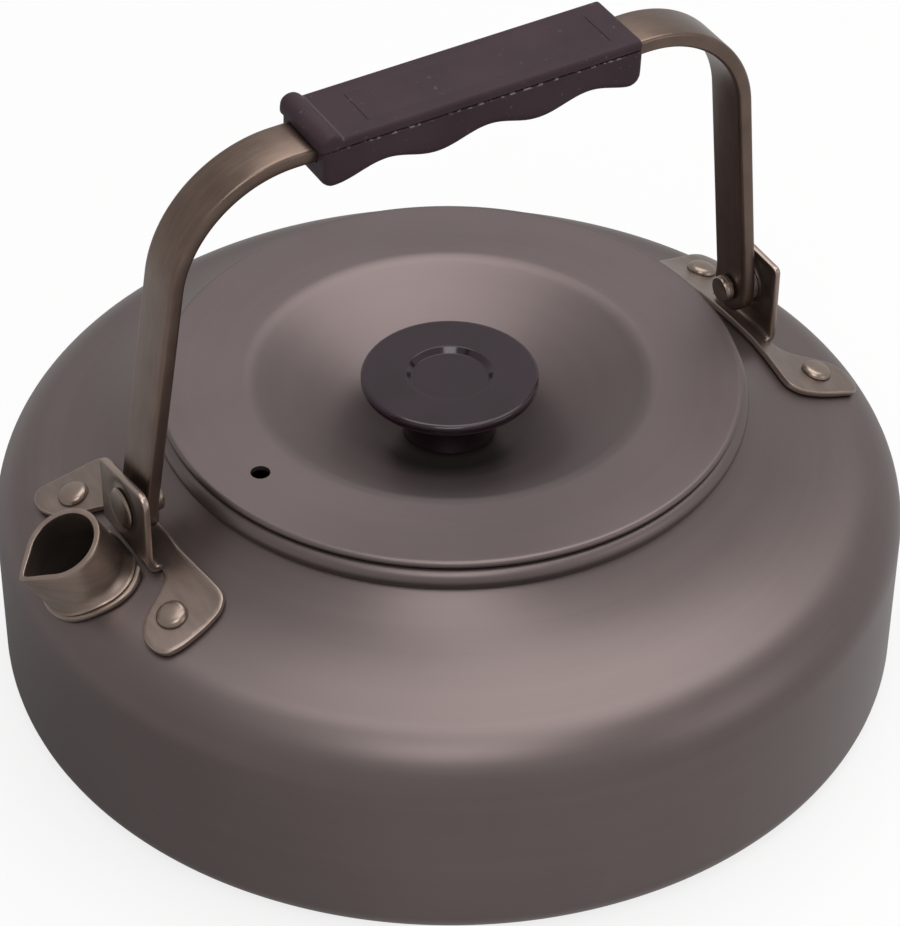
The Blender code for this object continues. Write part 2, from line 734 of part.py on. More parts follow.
def knob_insert(finish):
    """The threaded bush moulded into the knob's neck."""
    low, high = DISH_FLOOR + GAP, INSERT_TOP
    bore, rim = INSERT_BORE, INSERT_RADIUS
    profile = [(bore, high), (rim, high), (rim, low), (bore, low)]
    return turned("knob_insert", profile, SMALL_STEPS, finish)


def knob_washer(finish):
    """The flat washer under the lid's dish."""
    high = DISH_FLOOR - LID_SHEET - GAP
    low = high - KNOB_WASHER_HEIGHT
    bore, rim = SCREW_RADIUS + GAP, KNOB_WASHER_RADIUS
    profile = [(bore, high), (rim, high), (rim, low), (bore, low)]
    return turned("knob_washer", profile, SMALL_STEPS, finish)


def knob_screw(finish):
    """The screw that holds the knob from under the dish, with a domed head."""
    seat = DISH_FLOOR - LID_SHEET - GAP - KNOB_WASHER_HEIGHT - GAP
    profile = [
        (0.0, SCREW_TIP),
        (SCREW_RADIUS - SCREW_CHAMFER, SCREW_TIP),
        (SCREW_RADIUS, SCREW_TIP - SCREW_CHAMFER),
        (SCREW_RADIUS, seat),
        (SCREW_HEAD_RADIUS, seat),
    ]
    head = dome(SCREW_HEAD_RADIUS, 0.0, SCREW_HEAD_HEIGHT, (10, 30, 52, 90))
    profile += [(radius, seat - rise) for radius, rise in head]
    return turned("knob_screw", profile, SMALL_STEPS, finish, closed=False)


def build():
    clear_scene()
    body_grey = material("anodised_grey", (0.115, 0.100, 0.098), 0.85, 0.42)
    bronze = material("anodised_bronze", (0.130, 0.105, 0.082), 0.85, 0.38)
    rivet_metal = material("rivet_bronze", (0.190, 0.160, 0.130), 0.90, 0.35)
    bright = material("plain_steel", (0.450, 0.440, 0.430), 1.0, 0.30)
    brass = material("brass", (0.560, 0.400, 0.160), 1.0, 0.35)
    grip_black = material("grip_moulding", (0.028, 0.024, 0.026), 0.0, 0.45)
    knob_black = material("knob_moulding", (0.020, 0.016, 0.018), 0.0, 0.22)

    kettle_body(body_grey)
    spout_tube(bronze)
    spout_ring(bronze)
    for sign, side in ((-1, "spout"), (1, "rear")):
        bracket(f"{side}_bracket", sign, bronze)
        pivot_rivet(f"{side}_pivot_rivet", sign, rivet_metal)
        pivot_washer(f"{side}_pivot_washer", sign, bright)
    for index, (sx, sy) in enumerate(rivet_corners()):
        side = "spout" if sx < 0 else "rear"
        bracket_rivet(f"{side}_bracket_rivet_{index % 2 + 1}", sx, sy, rivet_metal)

    lid_shell(body_grey)
    lid_knob(knob_black)
    knob_insert(brass)
    knob_washer(bright)
    knob_screw(bright)

    hinge = bpy.data.objects.new("bail_hinge", None)
    bpy.context.collection.objects.link(hinge)
    hinge.location = (0.0, 0.0, PIVOT_HEIGHT)
    hinge.rotation_euler = (BAIL_LEAN, 0.0, 0.0)
    bail_bar(bronze, hinge)
    grip_upper(grip_black, hinge)
    grip_lower(grip_black, hinge)


build()
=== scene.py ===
"""A camping kettle with a spun aluminium body, a sunk lid and a folding bail handle.

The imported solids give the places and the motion; every visible piece is made here
around them, in metres, with the kettle's turning axis on Z.
"""

import math

import bmesh
import bpy
from mathutils import Matrix, Vector, geometry, kdtree


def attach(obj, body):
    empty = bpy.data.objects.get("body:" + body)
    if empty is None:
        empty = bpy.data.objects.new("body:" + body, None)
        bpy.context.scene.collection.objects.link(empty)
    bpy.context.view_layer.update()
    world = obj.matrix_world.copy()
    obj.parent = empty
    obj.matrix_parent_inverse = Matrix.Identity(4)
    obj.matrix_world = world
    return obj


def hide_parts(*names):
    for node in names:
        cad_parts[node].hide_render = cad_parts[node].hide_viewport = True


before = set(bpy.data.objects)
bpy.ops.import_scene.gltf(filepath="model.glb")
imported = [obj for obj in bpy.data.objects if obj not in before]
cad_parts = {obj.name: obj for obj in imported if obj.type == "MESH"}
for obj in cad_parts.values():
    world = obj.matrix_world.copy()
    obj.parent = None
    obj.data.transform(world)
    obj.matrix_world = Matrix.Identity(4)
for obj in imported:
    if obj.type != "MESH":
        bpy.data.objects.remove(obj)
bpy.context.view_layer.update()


# STUDIO
# A matt white floor in a white room. A large soft box hangs above, a little behind and
# to the right, a smaller one in front of the kettle, and a weak one low at the right.
# Mirrored in the metal, the room is paler at the right, and the floor carries a painted shadow by the
# kettle's left side.


class Wire:
    """A node's output that can be used in plain arithmetic; every step adds a Math node."""

    def __init__(self, sheet, socket):
        self.sheet = sheet
        self.socket = socket

    def out(self, name):
        return Wire(self.sheet, self.socket.node.outputs[name])

    def step(self, operation, *values):
        return self.sheet.node("ShaderNodeMath", {"operation": operation}, dict(enumerate(values)))

    def __add__(self, other):
        return self.step("ADD", self, other)

    def __radd__(self, other):
        return self.step("ADD", other, self)

    def __sub__(self, other):
        return self.step("SUBTRACT", self, other)

    def __rsub__(self, other):
        return self.step("SUBTRACT", other, self)

    def __mul__(self, other):
        return self.step("MULTIPLY", self, other)

    def __rmul__(self, other):
        return self.step("MULTIPLY", other, self)

    def __truediv__(self, other):
        return self.step("DIVIDE", self, other)

    def __rtruediv__(self, other):
        return self.step("DIVIDE", other, self)

    def __pow__(self, other):
        return self.step("POWER", self, other)

    def __abs__(self):
        return self.step("ABSOLUTE", self)

    def __lt__(self, other):
        return self.step("LESS_THAN", self, other)

    def __gt__(self, other):
        return self.step("GREATER_THAN", self, other)

    def sin(self):
        return self.step("SINE", self)

    def cos(self):
        return self.step("COSINE", self)

    def floor(self):
        return self.step("FLOOR", self)

    def root(self):
        return self.step("SQRT", self)

    def at_least(self, other):
        return self.step("MAXIMUM", self, other)

    def at_most(self, other):
        return self.step("MINIMUM", self, other)


class Sheet:
    """A tree of nodes, for a material, the world or a piece's shape, as it is written."""

    def __init__(self, tree):
        self.tree = tree

    def node(self, kind, settings=None, values=None, output=0):
        made = self.tree.nodes.new(kind)
        for name, value in (settings or {}).items():
            setattr(made, name, value)
        self.feeds(made, values or {})
        return Wire(self, made.outputs[output]) if made.outputs else made

    def feed(self, socket, value):
        if isinstance(value, Wire):
            self.tree.links.new(value.socket, socket)
        else:
            socket.default_value = value

    def feeds(self, node, values):
        for name, value in values.items():
            self.feed(node.inputs[name], value)

    def mix(self, share, low, high):
        return self.node("ShaderNodeMix", {"data_type": "RGBA"}, {0: share, 6: low, 7: high}, 2)

    def parts(self, place):
        x = self.node("ShaderNodeSeparateXYZ", None, {0: place})
        return x, x.out("Y"), x.out("Z")

    def joined(self, x, y, z):
        return self.node("ShaderNodeCombineXYZ", None, {"X": x, "Y": y, "Z": z})

    def noise(self, place, scale, detail):
        values = {"Vector": place, "Scale": scale, "Detail": detail}
        return self.node("ShaderNodeTexNoise", None, values)

    def bump(self, height, strength, distance=0.0001):
        values = {"Strength": strength, "Distance": distance, "Height": height}
        return self.node("ShaderNodeBump", None, values)


def seen(sheet, directly, mirrored):
    """One level for camera rays, another for mirror and glass rays, 0 for other rays."""
    ray = sheet.node("ShaderNodeLightPath", output="Is Camera Ray")
    bent = ray.out("Is Glossy Ray").at_least(ray.out("Is Transmission Ray"))
    return (ray * directly).at_least(bent * mirrored)


def to_the_right(place):
    """How far a place or a direction lies to the right, as the photograph looks at it."""
    x, y, _ = place.sheet.parts(place)
    return x * RIGHT_X + y * RIGHT_Y


def new_finish(name):
    """A material with its sheet of nodes, its shader and the place on the piece."""
    material = bpy.data.materials.new(name)
    material.use_nodes = True
    sheet = Sheet(material.node_tree)
    shader = material.node_tree.nodes["Principled BSDF"]
    return material, sheet, shader, sheet.node("ShaderNodeTexCoord", output="Object")


RIGHT_X, RIGHT_Y = 0.853, -0.522
WHITE = (1.0, 1.0, 1.0, 1.0)
FLOOR_SIZE = 4.0
FLOOR_GAP = 0.0001
FLOOR_WHITE = (0.86, 0.855, 0.85, 1.0)
ROOM_LEVEL = 0.38
ROOM_MIRRORED = 0.68
ROOM_LEAN = 0.12
FLOOR_GLOW = 0.80
FLOOR_MIRRORED = 0.66
# FLOOR_SHADE, SHADE_START and SHADE_REACH size a painted shadow on the floor as the metal mirrors it.
FLOOR_SHADE = 0.88
SHADE_START = 0.09
SHADE_REACH = 0.13
LEFT_PER_METRE = 10.0

world = bpy.data.worlds.new("white_room")
world.use_nodes = True
bpy.context.scene.world = world
sheet = Sheet(world.node_tree)
background = world.node_tree.nodes["Background"]
background.inputs["Color"].default_value = WHITE
right = to_the_right(sheet.node("ShaderNodeTexCoord", output="Generated"))
strength = seen(sheet, 1.0, (right * ROOM_LEAN + 1.0) * ROOM_MIRRORED).at_least(ROOM_LEVEL)
sheet.feed(background.inputs["Strength"], strength)

mesh = bpy.data.meshes.new("floor")
corners = [(-1, -1), (1, -1), (1, 1), (-1, 1)]
corners = [(x * FLOOR_SIZE, y * FLOOR_SIZE, -FLOOR_GAP) for x, y in corners]
mesh.from_pydata(corners, [], [(0, 1, 2, 3)])
floor = bpy.data.objects.new("floor", mesh)
bpy.context.collection.objects.link(floor)
paper, sheet, matt, place = new_finish("pale_floor")
sheet.feeds(matt, {"Base Color": FLOOR_WHITE, "Roughness": 0.9, "Specular IOR Level": 0.1})
# Painted shadow: in mirror rays the floor is darker near the kettle's left side, in place of the
# kettle's own shadow there.
left = (to_the_right(place) * -LEFT_PER_METRE).at_least(0.0).at_most(1.0)
away = sheet.node("ShaderNodeVectorMath", {"operation": "LENGTH"}, {0: place}, "Value")
near = (1.0 - (away - SHADE_START) / SHADE_REACH).at_least(0.0).at_most(1.0)
level = seen(sheet, 1.0, (1.0 - left * near * FLOOR_SHADE) * FLOOR_MIRRORED)
glow = sheet.node("ShaderNodeEmission", None, {"Color": WHITE, "Strength": level})
both = sheet.node("ShaderNodeMixShader", None, {0: seen(sheet, FLOOR_GLOW, FLOOR_GLOW), 2: glow})
sheet.tree.links.new(matt.outputs[0], both.socket.node.inputs[1])
sheet.tree.links.new(both.socket, sheet.tree.nodes["Material Output"].inputs["Surface"])
mesh.materials.append(paper)


def soft_box(name, place, size, power):
    """A square area lamp at a place, turned towards the kettle's middle."""
    light = bpy.data.lights.new(name, "AREA")
    light.shape = "SQUARE"
    light.size = size
    light.energy = power
    lamp = bpy.data.objects.new(name, light)
    bpy.context.collection.objects.link(lamp)
    lamp.location = place
    aim = Vector((0.0, 0.0, 0.05)) - Vector(place)
    lamp.rotation_euler = aim.to_track_quat("-Z", "Y").to_euler()


soft_box("soft_box_above", (0.25, 0.13, 1.05), 0.95, 8.0)
soft_box("soft_box_front", (-0.34, -0.56, 0.98), 0.5, 3.4)
soft_box("soft_box_right", (0.65, -0.95, 0.40), 0.5, 1.0)

# The camera looks down at the spout side and the front, as in the photograph.
CAMERA_PLACE = (-0.2805, -0.4585, 0.4759)
CAMERA_HEADING = math.radians(-31.46)
CAMERA_DIP = math.radians(39.20)
CAMERA_ROLL = math.radians(0.47)

lens = bpy.data.cameras.new("camera")
lens.lens = 139.2
lens.sensor_fit = "HORIZONTAL"
lens.sensor_width = 36.0
lens.shift_x = 0.001
lens.shift_y = 0.01406
camera = bpy.data.objects.new("camera", lens)
bpy.context.collection.objects.link(camera)
turn = Matrix.Rotation(CAMERA_HEADING, 4, "Z") @ Matrix.Rotation(math.pi / 2 - CAMERA_DIP, 4, "X")
turn = turn @ Matrix.Rotation(CAMERA_ROLL, 4, "Z")
camera.matrix_world = Matrix.Translation(CAMERA_PLACE) @ turn
bpy.context.scene.camera = camera
bpy.context.scene.view_settings.view_transform = "Standard"


# KETTLE BODY
# One pressing of aluminium sheet, spun to a flat base, a straight wall, a round shoulder
# and a top that sweeps up to a rolled collar, then hard anodised a warm satin grey.
BODY_RADIUS = 0.0900
BODY_WALL = 0.0010
BASE_FILLET = 0.0054
WALL_TOP = 0.0332
SHOULDER_RADIUS = 0.0127
SHOULDER_SLOPE = math.radians(12.0)
NECK_SLOPE = math.radians(41.0)
NECK_RADIUS = 0.0571
COLLAR_RADIUS = 0.0562
COLLAR_HEIGHT = 0.0595
COLLAR_BEAD = 0.00215
BODY_STEPS = 240
HALF_A_STEP = 0.5 / 4096.0
EDGE_RADIUS = BODY_RADIUS - SHOULDER_RADIUS + SHOULDER_RADIUS * math.sin(SHOULDER_SLOPE)
EDGE_HEIGHT = WALL_TOP + SHOULDER_RADIUS * math.cos(SHOULDER_SLOPE)
SLOPE_RATE = (NECK_SLOPE - SHOULDER_SLOPE) / (EDGE_RADIUS - NECK_RADIUS)


def top_slope(radius):
    """Slope of the top, which steepens evenly from the shoulder to the neck."""
    return SHOULDER_SLOPE + SLOPE_RATE * (EDGE_RADIUS - radius)


def outer_height(radius):
    """Height of the outside over the sloping top and round the shoulder."""
    if radius <= EDGE_RADIUS:
        drop = math.cos(SHOULDER_SLOPE) / math.cos(top_slope(radius))
        return EDGE_HEIGHT + math.log(drop) / SLOPE_RATE
    across = min(radius - BODY_RADIUS + SHOULDER_RADIUS, SHOULDER_RADIUS)
    return WALL_TOP + math.sqrt(SHOULDER_RADIUS ** 2 - across ** 2)


def over_body(x, y, height):
    """The point that stands square to the outside, height above it at plan (x, y)."""
    radius = math.hypot(x, y)
    slope = top_slope(radius)
    if radius > EDGE_RADIUS:
        slope = math.asin(min((radius - BODY_RADIUS + SHOULDER_RADIUS) / SHOULDER_RADIUS, 1.0))
    shift = 1.0 + height * math.sin(slope) / radius
    return Vector((x * shift, y * shift, outer_height(radius) + height * math.cos(slope)))


def arc(centre, radius, start, end, count):
    """Points of an arc as (radius, height) pairs, angles in degrees."""
    points = []
    for i in range(count + 1):
        angle = math.radians(start + (end - start) * i / count)
        points.append((centre[0] + radius * math.cos(angle), centre[1] + radius * math.sin(angle)))
    return points


def side_curve(offset, bottom):
    """The top, the shoulder and the upper wall, moved outward, from the neck down."""
    points = []
    for i in range(28):
        radius = NECK_RADIUS + (EDGE_RADIUS - NECK_RADIUS) * i / 28
        slope = top_slope(radius)
        outward = (offset * math.sin(slope), offset * math.cos(slope))
        points.append((radius + outward[0], outer_height(radius) + outward[1]))
    centre = (BODY_RADIUS - SHOULDER_RADIUS, WALL_TOP)
    points += arc(centre, SHOULDER_RADIUS + offset, 90.0 - math.degrees(SHOULDER_SLOPE), 0.0, 18)
    points.append((BODY_RADIUS + offset, bottom))
    return points


def begin_tree(name, inputs, output):
    """A new tree of geometry nodes with its named inputs and its output."""
    tree = bpy.data.node_groups.new(name, "GeometryNodeTree")
    for title, kind in inputs.items():
        tree.interface.new_socket(name=title, in_out="INPUT", socket_type=f"NodeSocket{kind}")
    tree.interface.new_socket(name=output, in_out="OUTPUT", socket_type="NodeSocketGeometry")
    sheet = Sheet(tree)
    return sheet, sheet.node("NodeGroupInput")


def end_tree(sheet, shape, finish):
    """The tree, ended with real geometry in the finish."""
    shape = sheet.node("GeometryNodeRealizeInstances", None, {"Geometry": shape})
    shape = sheet.node("GeometryNodeSetMaterial", None, {"Geometry": shape, "Material": finish})
    sheet.node("NodeGroupOutput", None, {0: shape})
    return sheet.tree


def lathe_tree():
    """Geometry nodes that turn a profile of (radius, 0, height) vertices about Z."""
    inputs = {"Profile": "Geometry", "Steps": "Int", "Finish": "Material"}
    sheet, profile = begin_tree("turned_on_a_lathe", inputs, "Turned")
    steps = profile.out("Steps")
    points = sheet.node(
        "GeometryNodeAttributeDomainSize", {"component": "MESH"}, {"Geometry": profile}, "Point Count",
    )
    row = steps + 1.0
    counts = {"Vertices X": points, "Vertices Y": row}
    grid = sheet.node("GeometryNodeMeshGrid", None, counts, "Mesh")
    index = sheet.node("GeometryNodeInputIndex")
    place = (index / row + HALF_A_STEP).floor()
    angle = (index - place * row) * (2.0 * math.pi) / steps
    values = {"Geometry": profile, "Value": sheet.node("GeometryNodeInputPosition"), "Index": place}
    kind = {"data_type": "FLOAT_VECTOR"}
    radius, _, height = sheet.parts(sheet.node("GeometryNodeSampleIndex", kind, values))
    around = sheet.joined(radius * angle.cos(), radius * angle.sin(), height)
    moved = {"Geometry": grid, "Position": around}
    shape = sheet.node("GeometryNodeSetPosition", None, moved)
    welded = {"Geometry": shape, "Distance": 0.000002}
    shape = sheet.node("GeometryNodeMergeByDistance", None, welded)
    return end_tree(sheet, shape, profile.out("Finish"))


def run_tree(obj, tree, inputs):
    """Give an object the tree as a modifier, with its named inputs set."""
    modifier = obj.modifiers.new(tree.name, "NODES")
    modifier.node_group = tree
    for item in tree.interface.items_tree:
        if item.in_out == "INPUT" and item.name in inputs:
            modifier[item.identifier] = inputs[item.name]


def add_object(name, mesh):
    obj = bpy.data.objects.new(name, mesh)
    bpy.context.collection.objects.link(obj)
    return obj


def from_bmesh(name, bm, finish=None):
    mesh = bpy.data.meshes.new(name)
    bm.to_mesh(mesh)
    bm.free()
    if finish:
        mesh.materials.append(finish)
    return add_object(name, mesh)


def settled(obj, crease=35.0):
    """Swap live modifiers for a plain mesh of one finish, with its faces turned outward."""
    view = bpy.context.evaluated_depsgraph_get()
    view.update()
    mesh = bpy.data.meshes.new_from_object(obj.evaluated_get(view))
    mesh.transform(obj.matrix_world)
    finishes = [material for material in mesh.materials if material]
    mesh.materials.clear()
    mesh.materials.append(finishes[0])
    mesh.polygons.foreach_set("material_index", [0] * len(mesh.polygons))
    name = obj.name
    bpy.data.objects.remove(obj, do_unlink=True)
    mesh.name = name
    bm = bmesh.new()
    bm.from_mesh(mesh)
    bmesh.ops.dissolve_degenerate(bm, dist=0.000001, edges=bm.edges)
    bmesh.ops.recalc_face_normals(bm, faces=bm.faces)
    bm.to_mesh(mesh)
    bm.free()
    mesh.shade_smooth()
    mesh.set_sharp_from_angle(angle=math.radians(crease))
    return add_object(name, mesh)


def turned(name, profile, steps, finish):
    """A piece turned about Z from (radius, height) points."""
    mesh = bpy.data.meshes.new(name)
    edges = [(i, i + 1) for i in range(len(profile) - 1)]
    mesh.from_pydata([(r, 0.0, z) for r, z in profile], edges, [])
    obj = add_object(name, mesh)
    run_tree(obj, lathe, {"Steps": steps, "Finish": finish})
    return settled(obj)


def cut_by(obj, bm):
    """The piece without the room that the tool's shape takes up."""
    tool = from_bmesh("tool", bm)
    cut = obj.modifiers.new("cut", "BOOLEAN")
    cut.object = tool
    cut.solver = "EXACT"
    made = settled(obj)
    bpy.data.objects.remove(tool, do_unlink=True)
    return made


def drilled(obj, radius, low, high, matrix, steps=48):
    """The piece with a round hole along the local Z of a matrix."""
    bm = bmesh.new()
    length = high - low
    bmesh.ops.create_cone(
        bm, cap_ends=True, segments=steps, radius1=radius, radius2=radius, depth=length,
        matrix=matrix @ Matrix.Translation((0.0, 0.0, low + length / 2)),
    )
    return cut_by(obj, bm)


def spun_finish(name, colour, shade, roughness):
    """Satin anodised metal with the fine rings that spinning leaves round Z."""
    material, sheet, shader, place = new_finish(name)
    x, y, z = sheet.parts(place)
    radius = (x * x + y * y).root() + 0.00001
    along = z - radius
    rings = sheet.joined(x / radius * 0.6, y / radius * 0.6, along * 900.0)
    fine = sheet.noise(rings, 1.0, 4.0)
    bands = sheet.joined(x / radius * 1.4, y / radius * 1.4, along * 160.0)
    broad = sheet.noise(bands, 1.0, 2.0)
    cloud = sheet.noise(place, 45.0, 3.0)
    tone = (fine * 0.35 + broad * 0.2 + cloud * 0.45 - 0.30) / 0.40
    sheet.feeds(shader, {
        "Base Color": sheet.mix(tone, (*shade, 1.0), (*colour, 1.0)),
        "Roughness": roughness - 0.05 + fine * 0.04 + cloud * 0.06,
        "Metallic": 0.82,
        "Normal": sheet.bump(fine, 0.035),
    })
    return material


lathe = lathe_tree()
BODY_GREY, BODY_GREY_SHADE = (0.148, 0.118, 0.114), (0.128, 0.101, 0.098)
body_finish = spun_finish("anodised_body_grey", BODY_GREY, BODY_GREY_SHADE, 0.42)

outer = arc((COLLAR_RADIUS, COLLAR_HEIGHT), COLLAR_BEAD, 180.0, -73.0, 26)
outer += side_curve(0.0, 0.020)
outer += arc((BODY_RADIUS - BASE_FILLET, BASE_FILLET), BASE_FILLET, 0.0, -90.0, 12)
outer += [(0.060, 0.0), (0.030, 0.0), (0.0, 0.0)]
inner = [(0.0, BODY_WALL), (0.030, BODY_WALL), (0.060, BODY_WALL)]
inner += arc((BODY_RADIUS - BASE_FILLET, BASE_FILLET), BASE_FILLET - BODY_WALL, -90.0, 0.0, 10)
inner += side_curve(-BODY_WALL, 0.020)[::-1]
inner.append((COLLAR_RADIUS - COLLAR_BEAD + 0.0004, COLLAR_HEIGHT - COLLAR_BEAD + 0.0005))
kettle_body = turned("kettle_body_spun", inner + outer, BODY_STEPS, body_finish)


# SPOUT AND RING
# A short tube pressed from the bronze-coloured sheet and pinched to a pouring lip. Its
# foot is rolled down over a thin ring on the body and opened out again on the inside.
SPOUT_TILT = math.radians(32.4)
SPOUT_FOOT = Vector((-0.07924, 0.0, 0.04576))
SPOUT_RADIUS = 0.0085
SPOUT_WALL = 0.0012
MOUTH_HEIGHT = 0.0118
MOUTH_TILT = math.radians(28.0)
MOUTH_RADIUS = 0.0078
MOUTH_LIP = 0.0110
LIP_ROUND = 0.06
MOUTH_SET_BACK = 0.00145
BEAD_RADIUS = 0.0099
RING_RADIUS = 0.0108
LIP_SIDE_NARROWER = 0.0009
LIP_SIDE_FULLER = 0.0005
SPOUT_STEPS = 180
LUG_FACE = -0.0717

spout_axis = Vector((-math.sin(SPOUT_TILT), 0.0, math.cos(SPOUT_TILT)))
spout_out = Vector((-math.cos(SPOUT_TILT), 0.0, -math.sin(SPOUT_TILT)))
spout_side = Vector((0.0, -1.0, 0.0))
spout_turn = Matrix((spout_out, spout_side, spout_axis)).transposed().to_4x4()
spout_place = Matrix.Translation(SPOUT_FOOT) @ spout_turn


def foot_point(radius, angle, height):
    """A point round the spout's foot, a height along the spout's axis over the body."""
    out, side = spout_out * radius * math.cos(angle), spout_side * radius * math.sin(angle)
    start = SPOUT_FOOT + out + side
    low, high = -0.015, 0.015
    for _ in range(24):
        middle = (low + high) / 2
        point = start + spout_axis * middle
        if point.z > outer_height(math.hypot(point.x, point.y)):
            high = middle
        else:
            low = middle
    return over_body(point.x, point.y, 0.0) + spout_axis * height


def lip_side(angle):
    """1 on the pouring side, falling to 0 on the lid's side."""
    return (1 + math.cos(angle)) / 2


def flange_ring(radius, height):
    """A ring of points round the foot, drawn in on the pouring side past the tube."""
    past = max(radius - SPOUT_RADIUS, 0.0) / (RING_RADIUS - SPOUT_RADIUS)
    inward = LIP_SIDE_NARROWER * past
    return [beside_lug(foot_point(radius - inward * lip_side(a), a, height)) for a in angles]


def lip_radius(angle):
    """Outer radius of the pinched mouth at an angle from the pouring side."""
    reach = math.acos(MOUTH_RADIUS / MOUTH_LIP)
    turn = (angle + math.pi) % (2 * math.pi) - math.pi
    return MOUTH_RADIUS / math.cos(max(reach - math.hypot(turn, LIP_ROUND), 0.0))


def tube_point(angle, inset, share, drop):
    """A point of the tube between the foot's bead (share 0) and the mouth (share 1)."""
    foot_radius = SPOUT_RADIUS + LIP_SIDE_FULLER * lip_side(angle)
    reach = foot_radius + (lip_radius(angle) - foot_radius) * share - inset
    x = reach * math.cos(angle) - MOUTH_SET_BACK * share
    y = reach * math.sin(angle)
    top = MOUTH_HEIGHT + x * math.tan(SPOUT_TILT - MOUTH_TILT) - drop
    foot = spout_place.inverted() @ foot_point(SPOUT_RADIUS - inset, angle, 0.0029)
    return spout_place @ Vector((x, y, foot.z + (top - foot.z) * share))


def skin(bm, loops):
    """Faces from each closed loop of points to the next one."""
    for a, b in zip(loops, loops[1:]):
        for i in range(len(a)):
            j = (i + 1) % len(a)
            bm.faces.new((a[i], a[j], b[j], b[i]))


def closed_tube(name, rings, finish):
    """A ring-shaped solid through like closed rings, the last joined to the first."""
    bm = bmesh.new()
    loops = [[bm.verts.new(point) for point in ring] for ring in rings]
    skin(bm, loops + loops[:1])
    return settled(from_bmesh(name, bm, finish))


def beside_lug(point):
    """Keep the foot clear of the bracket's upright lug."""
    return Vector((min(point.x, LUG_FACE), point.y, point.z))


def sheet_finish(name, colour, shade, roughness, grain, bare=1.0):
    """Anodised sheet: satin, a little clouded, with faint grain, and paler at cut edges."""
    material, sheet, shader, place = new_finish(name)
    long = sheet.node("ShaderNodeMapping", None, {"Vector": place, "Scale": grain})
    lines = sheet.noise(long, 1.0, 3.0)
    cloud = sheet.noise(place, 130.0, 3.0)
    tone = (lines * 0.5 + cloud * 0.5 - 0.34) / 0.32
    face = sheet.mix(tone, (*shade, 1.0), (*colour, 1.0))
    cut = sheet.node("ShaderNodeAttribute", {"attribute_name": "cut_edge"}, output="Fac")
    pale = tuple(min(part * bare, 1.0) for part in colour)
    sheet.feeds(shader, {
        "Base Color": sheet.mix(cut * (0.6 + cloud * 0.6), face, (*pale, 1.0)),
        "Roughness": roughness - 0.05 + cloud * 0.10,
        "Metallic": 0.88,
        "Normal": sheet.bump(lines, 0.08),
    })
    return material


SPOUT_BRONZE, SPOUT_SHADE = (0.300, 0.231, 0.193), (0.218, 0.165, 0.137)
SPOUT_GRAIN = (200.0, 200.0, 900.0)
spout_finish = sheet_finish("anodised_spout_bronze", SPOUT_BRONZE, SPOUT_SHADE, 0.34, SPOUT_GRAIN)
angles = [2 * math.pi * i / SPOUT_STEPS for i in range(SPOUT_STEPS)]
bore = SPOUT_RADIUS - SPOUT_WALL
foot_section = [
    (bore, -0.0031), (SPOUT_RADIUS, -0.0031), (SPOUT_RADIUS, -0.0023), (BEAD_RADIUS, -0.0022),
    (BEAD_RADIUS, -0.0013), (SPOUT_RADIUS, -0.0013), (SPOUT_RADIUS, 0.0015), (0.0087, 0.0016),
    (0.0095, 0.0016), (0.0098, 0.0017), (BEAD_RADIUS, 0.0018), (0.0098, 0.0019),
    (0.0096, 0.0020), (0.0094, 0.0022),
]
rings = [flange_ring(radius, height) for radius, height in foot_section]
RIM_ROUND = 0.00022
levels = [(0.0, share / 14, 0.0) for share in range(1, 14)]
for inset, drop in ((0.0, 1.0), (0.3, 0.3), (1.0, 0.0)):
    levels.append((inset * RIM_ROUND, 1.0, drop * RIM_ROUND))
for inset, drop in ((1.0, 0.0), (0.3, 0.3), (0.0, 1.0)):
    levels.append((SPOUT_WALL - inset * RIM_ROUND, 1.0, drop * RIM_ROUND))
levels += [(SPOUT_WALL, 1 - share / 12, 0.0) for share in range(1, 13)]
rings += [[tube_point(a, inset, share, drop) for a in angles] for inset, share, drop in levels]
spout_tube = closed_tube("spout_tube_pressed", rings, spout_finish)
kettle_body = drilled(kettle_body, SPOUT_RADIUS + 0.0003, -0.008, 0.008, spout_place, 96)

ring_section = [
    (0.0088, 0.0003), (0.0106, 0.0003), (RING_RADIUS, 0.0005), (RING_RADIUS, 0.0010),
    (0.0106, 0.0013), (0.0100, 0.0014), (0.0088, 0.0014),
]
rings = [flange_ring(radius, height) for radius, height in ring_section]
spout_ring = closed_tube("spout_ring_pressed", rings, spout_finish)
for obj, node, slot in (
    (kettle_body, "kettle_body", "body_shell"),
    (spout_tube, "spout_tube", "spout_metal"),
    (spout_ring, "spout_ring", "spout_metal"),
):
    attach(obj, "kettle")
    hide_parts(node)


# BAIL BRACKETS
# Each bracket is blanked from 1.3 mm sheet and lies on the sloping top on two lobes. A
# flap between two small relief notches is bent up for the bail's pivot, with a slanting
# top and a shallow ring pressed round the pivot hole. The rear one is turned end for end.
SHEET = 0.0013
LEAF_BELOW = 0.0003
LEAF_ABOVE = LEAF_BELOW + SHEET
LEAF_OUTSET = {-1: 0.0, 1: 0.0020}
LUG_INNER = {-1: 0.0701, 1: 0.0708}
LUG_TOPS = {-1: (0.0680, 0.0652), 1: (0.0674, 0.0686)}
LUG_CORNERS = {-1: (0.0027, 0.0009), 1: (0.0012, 0.0027)}
LUG_HALF_WIDTH = 0.0092
BEND_RADIUS = 0.0009
CUT_EDGE = 0.00032
PIVOT_HEIGHT = 0.0595
PRESSED_RADIUS = 0.0050
PRESSED_DEPTH = 0.00022
LOBE = [
    (0.0692, 0.0118), (0.0702, 0.0130), (0.0720, 0.0143), (0.0742, 0.0156), (0.0770, 0.0179),
    (0.0786, 0.0212), (0.0785, 0.0245), (0.0770, 0.0271), (0.0745, 0.0276), (0.0710, 0.0272),
    (0.0678, 0.0266), (0.0650, 0.0257), (0.0634, 0.0240), (0.0631, 0.0222), (0.0633, 0.0200),
    (0.0640, 0.0145), (0.0646, 0.0090),
]


